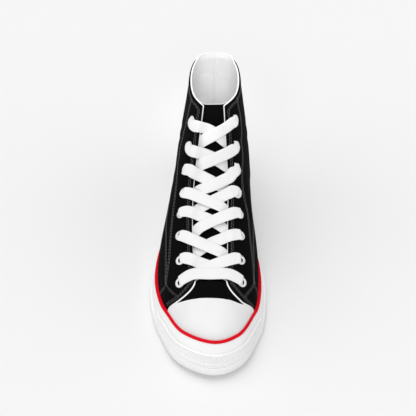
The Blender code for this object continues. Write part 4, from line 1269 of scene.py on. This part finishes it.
view = {"elevation": 42.0, "distance": 1.100, "target": (0.0, -0.011, 0.0848), "lens": 105.3, "sensor": 36.0}
light = {
    "sky": 0.46,
    # turn from the toe towards the inner side, lean from straight above, spread, share of the floor's light
    "lamps": (("front", -4, 50, 34, 0.24), ("top", -150, 15, 45, 0.33), ("outer", -78, 58, 60, 0.09),
              ("inner", 78, 58, 60, 0.07)),
    # a small lamp over the toe that shines into the collar
    "collarLamp": {"target": (0.004, 0.095, 0.132), "distance": 0.6, "lean": 46, "power": 6.2, "cone": 8.5,
                   "blend": 0.5, "size": 0.03},
}


def makeLamp(label, kind, turn, lean):  # the lamp, and the way to it
    lamp = addObject(label, bpy.data.lights.new(label, kind))
    away = Vector((math.sin(turn) * math.sin(lean), -math.cos(turn) * math.sin(lean), math.cos(lean)))
    lamp.rotation_euler = away.to_track_quat("Z", "Y").to_euler()
    return lamp, away


def makeStage():
    camera = addObject("camera", bpy.data.cameras.new("camera"))
    elevation = math.radians(view["elevation"])
    toCamera = Vector((0, -math.cos(elevation), math.sin(elevation)))
    camera.location = Vector(view["target"]) + toCamera * view["distance"]
    camera.rotation_euler = (math.pi / 2 - elevation, 0, 0)
    camera.data.lens = view["lens"]
    camera.data.sensor_width = view["sensor"]
    bpy.context.scene.camera = camera

    bpy.ops.mesh.primitive_plane_add(size=12)
    floor = bpy.context.active_object
    floor.name = "floor"
    finish = Finish("pale_floor", 0.9, 0.1)
    finish.set("Base Color", finish.ramp(finish.noise(2.0, 2.0), 0.2, 0.8, 0.778, 0.782))
    floor.data.materials.append(finish.material)

    world = bpy.data.worlds.new("studio")
    bpy.context.scene.world = world
    world.use_nodes = True
    world.node_tree.nodes["Background"].inputs["Color"].default_value = (1, 1, 1, 1)
    world.node_tree.nodes["Background"].inputs["Strength"].default_value = light["sky"]
    for label, turn, lean, spread, share in light["lamps"]:
        lamp = makeLamp(label, "SUN", math.radians(turn), math.radians(lean))[0]
        lamp.data.angle = math.radians(spread)
        lamp.data.energy = share * math.pi / math.cos(math.radians(lean))
    narrow = light["collarLamp"]
    lamp, away = makeLamp("collar_lamp", "SPOT", 0, math.radians(narrow["lean"]))
    lamp.location = Vector(narrow["target"]) + away * narrow["distance"]
    lamp.data.energy = narrow["power"]
    lamp.data.spot_size = math.radians(narrow["cone"])
    lamp.data.spot_blend = narrow["blend"]
    lamp.data.shadow_soft_size = narrow["size"]


makeStage()
bpy.context.scene.view_settings.view_transform = "Standard"
print("scene ready")
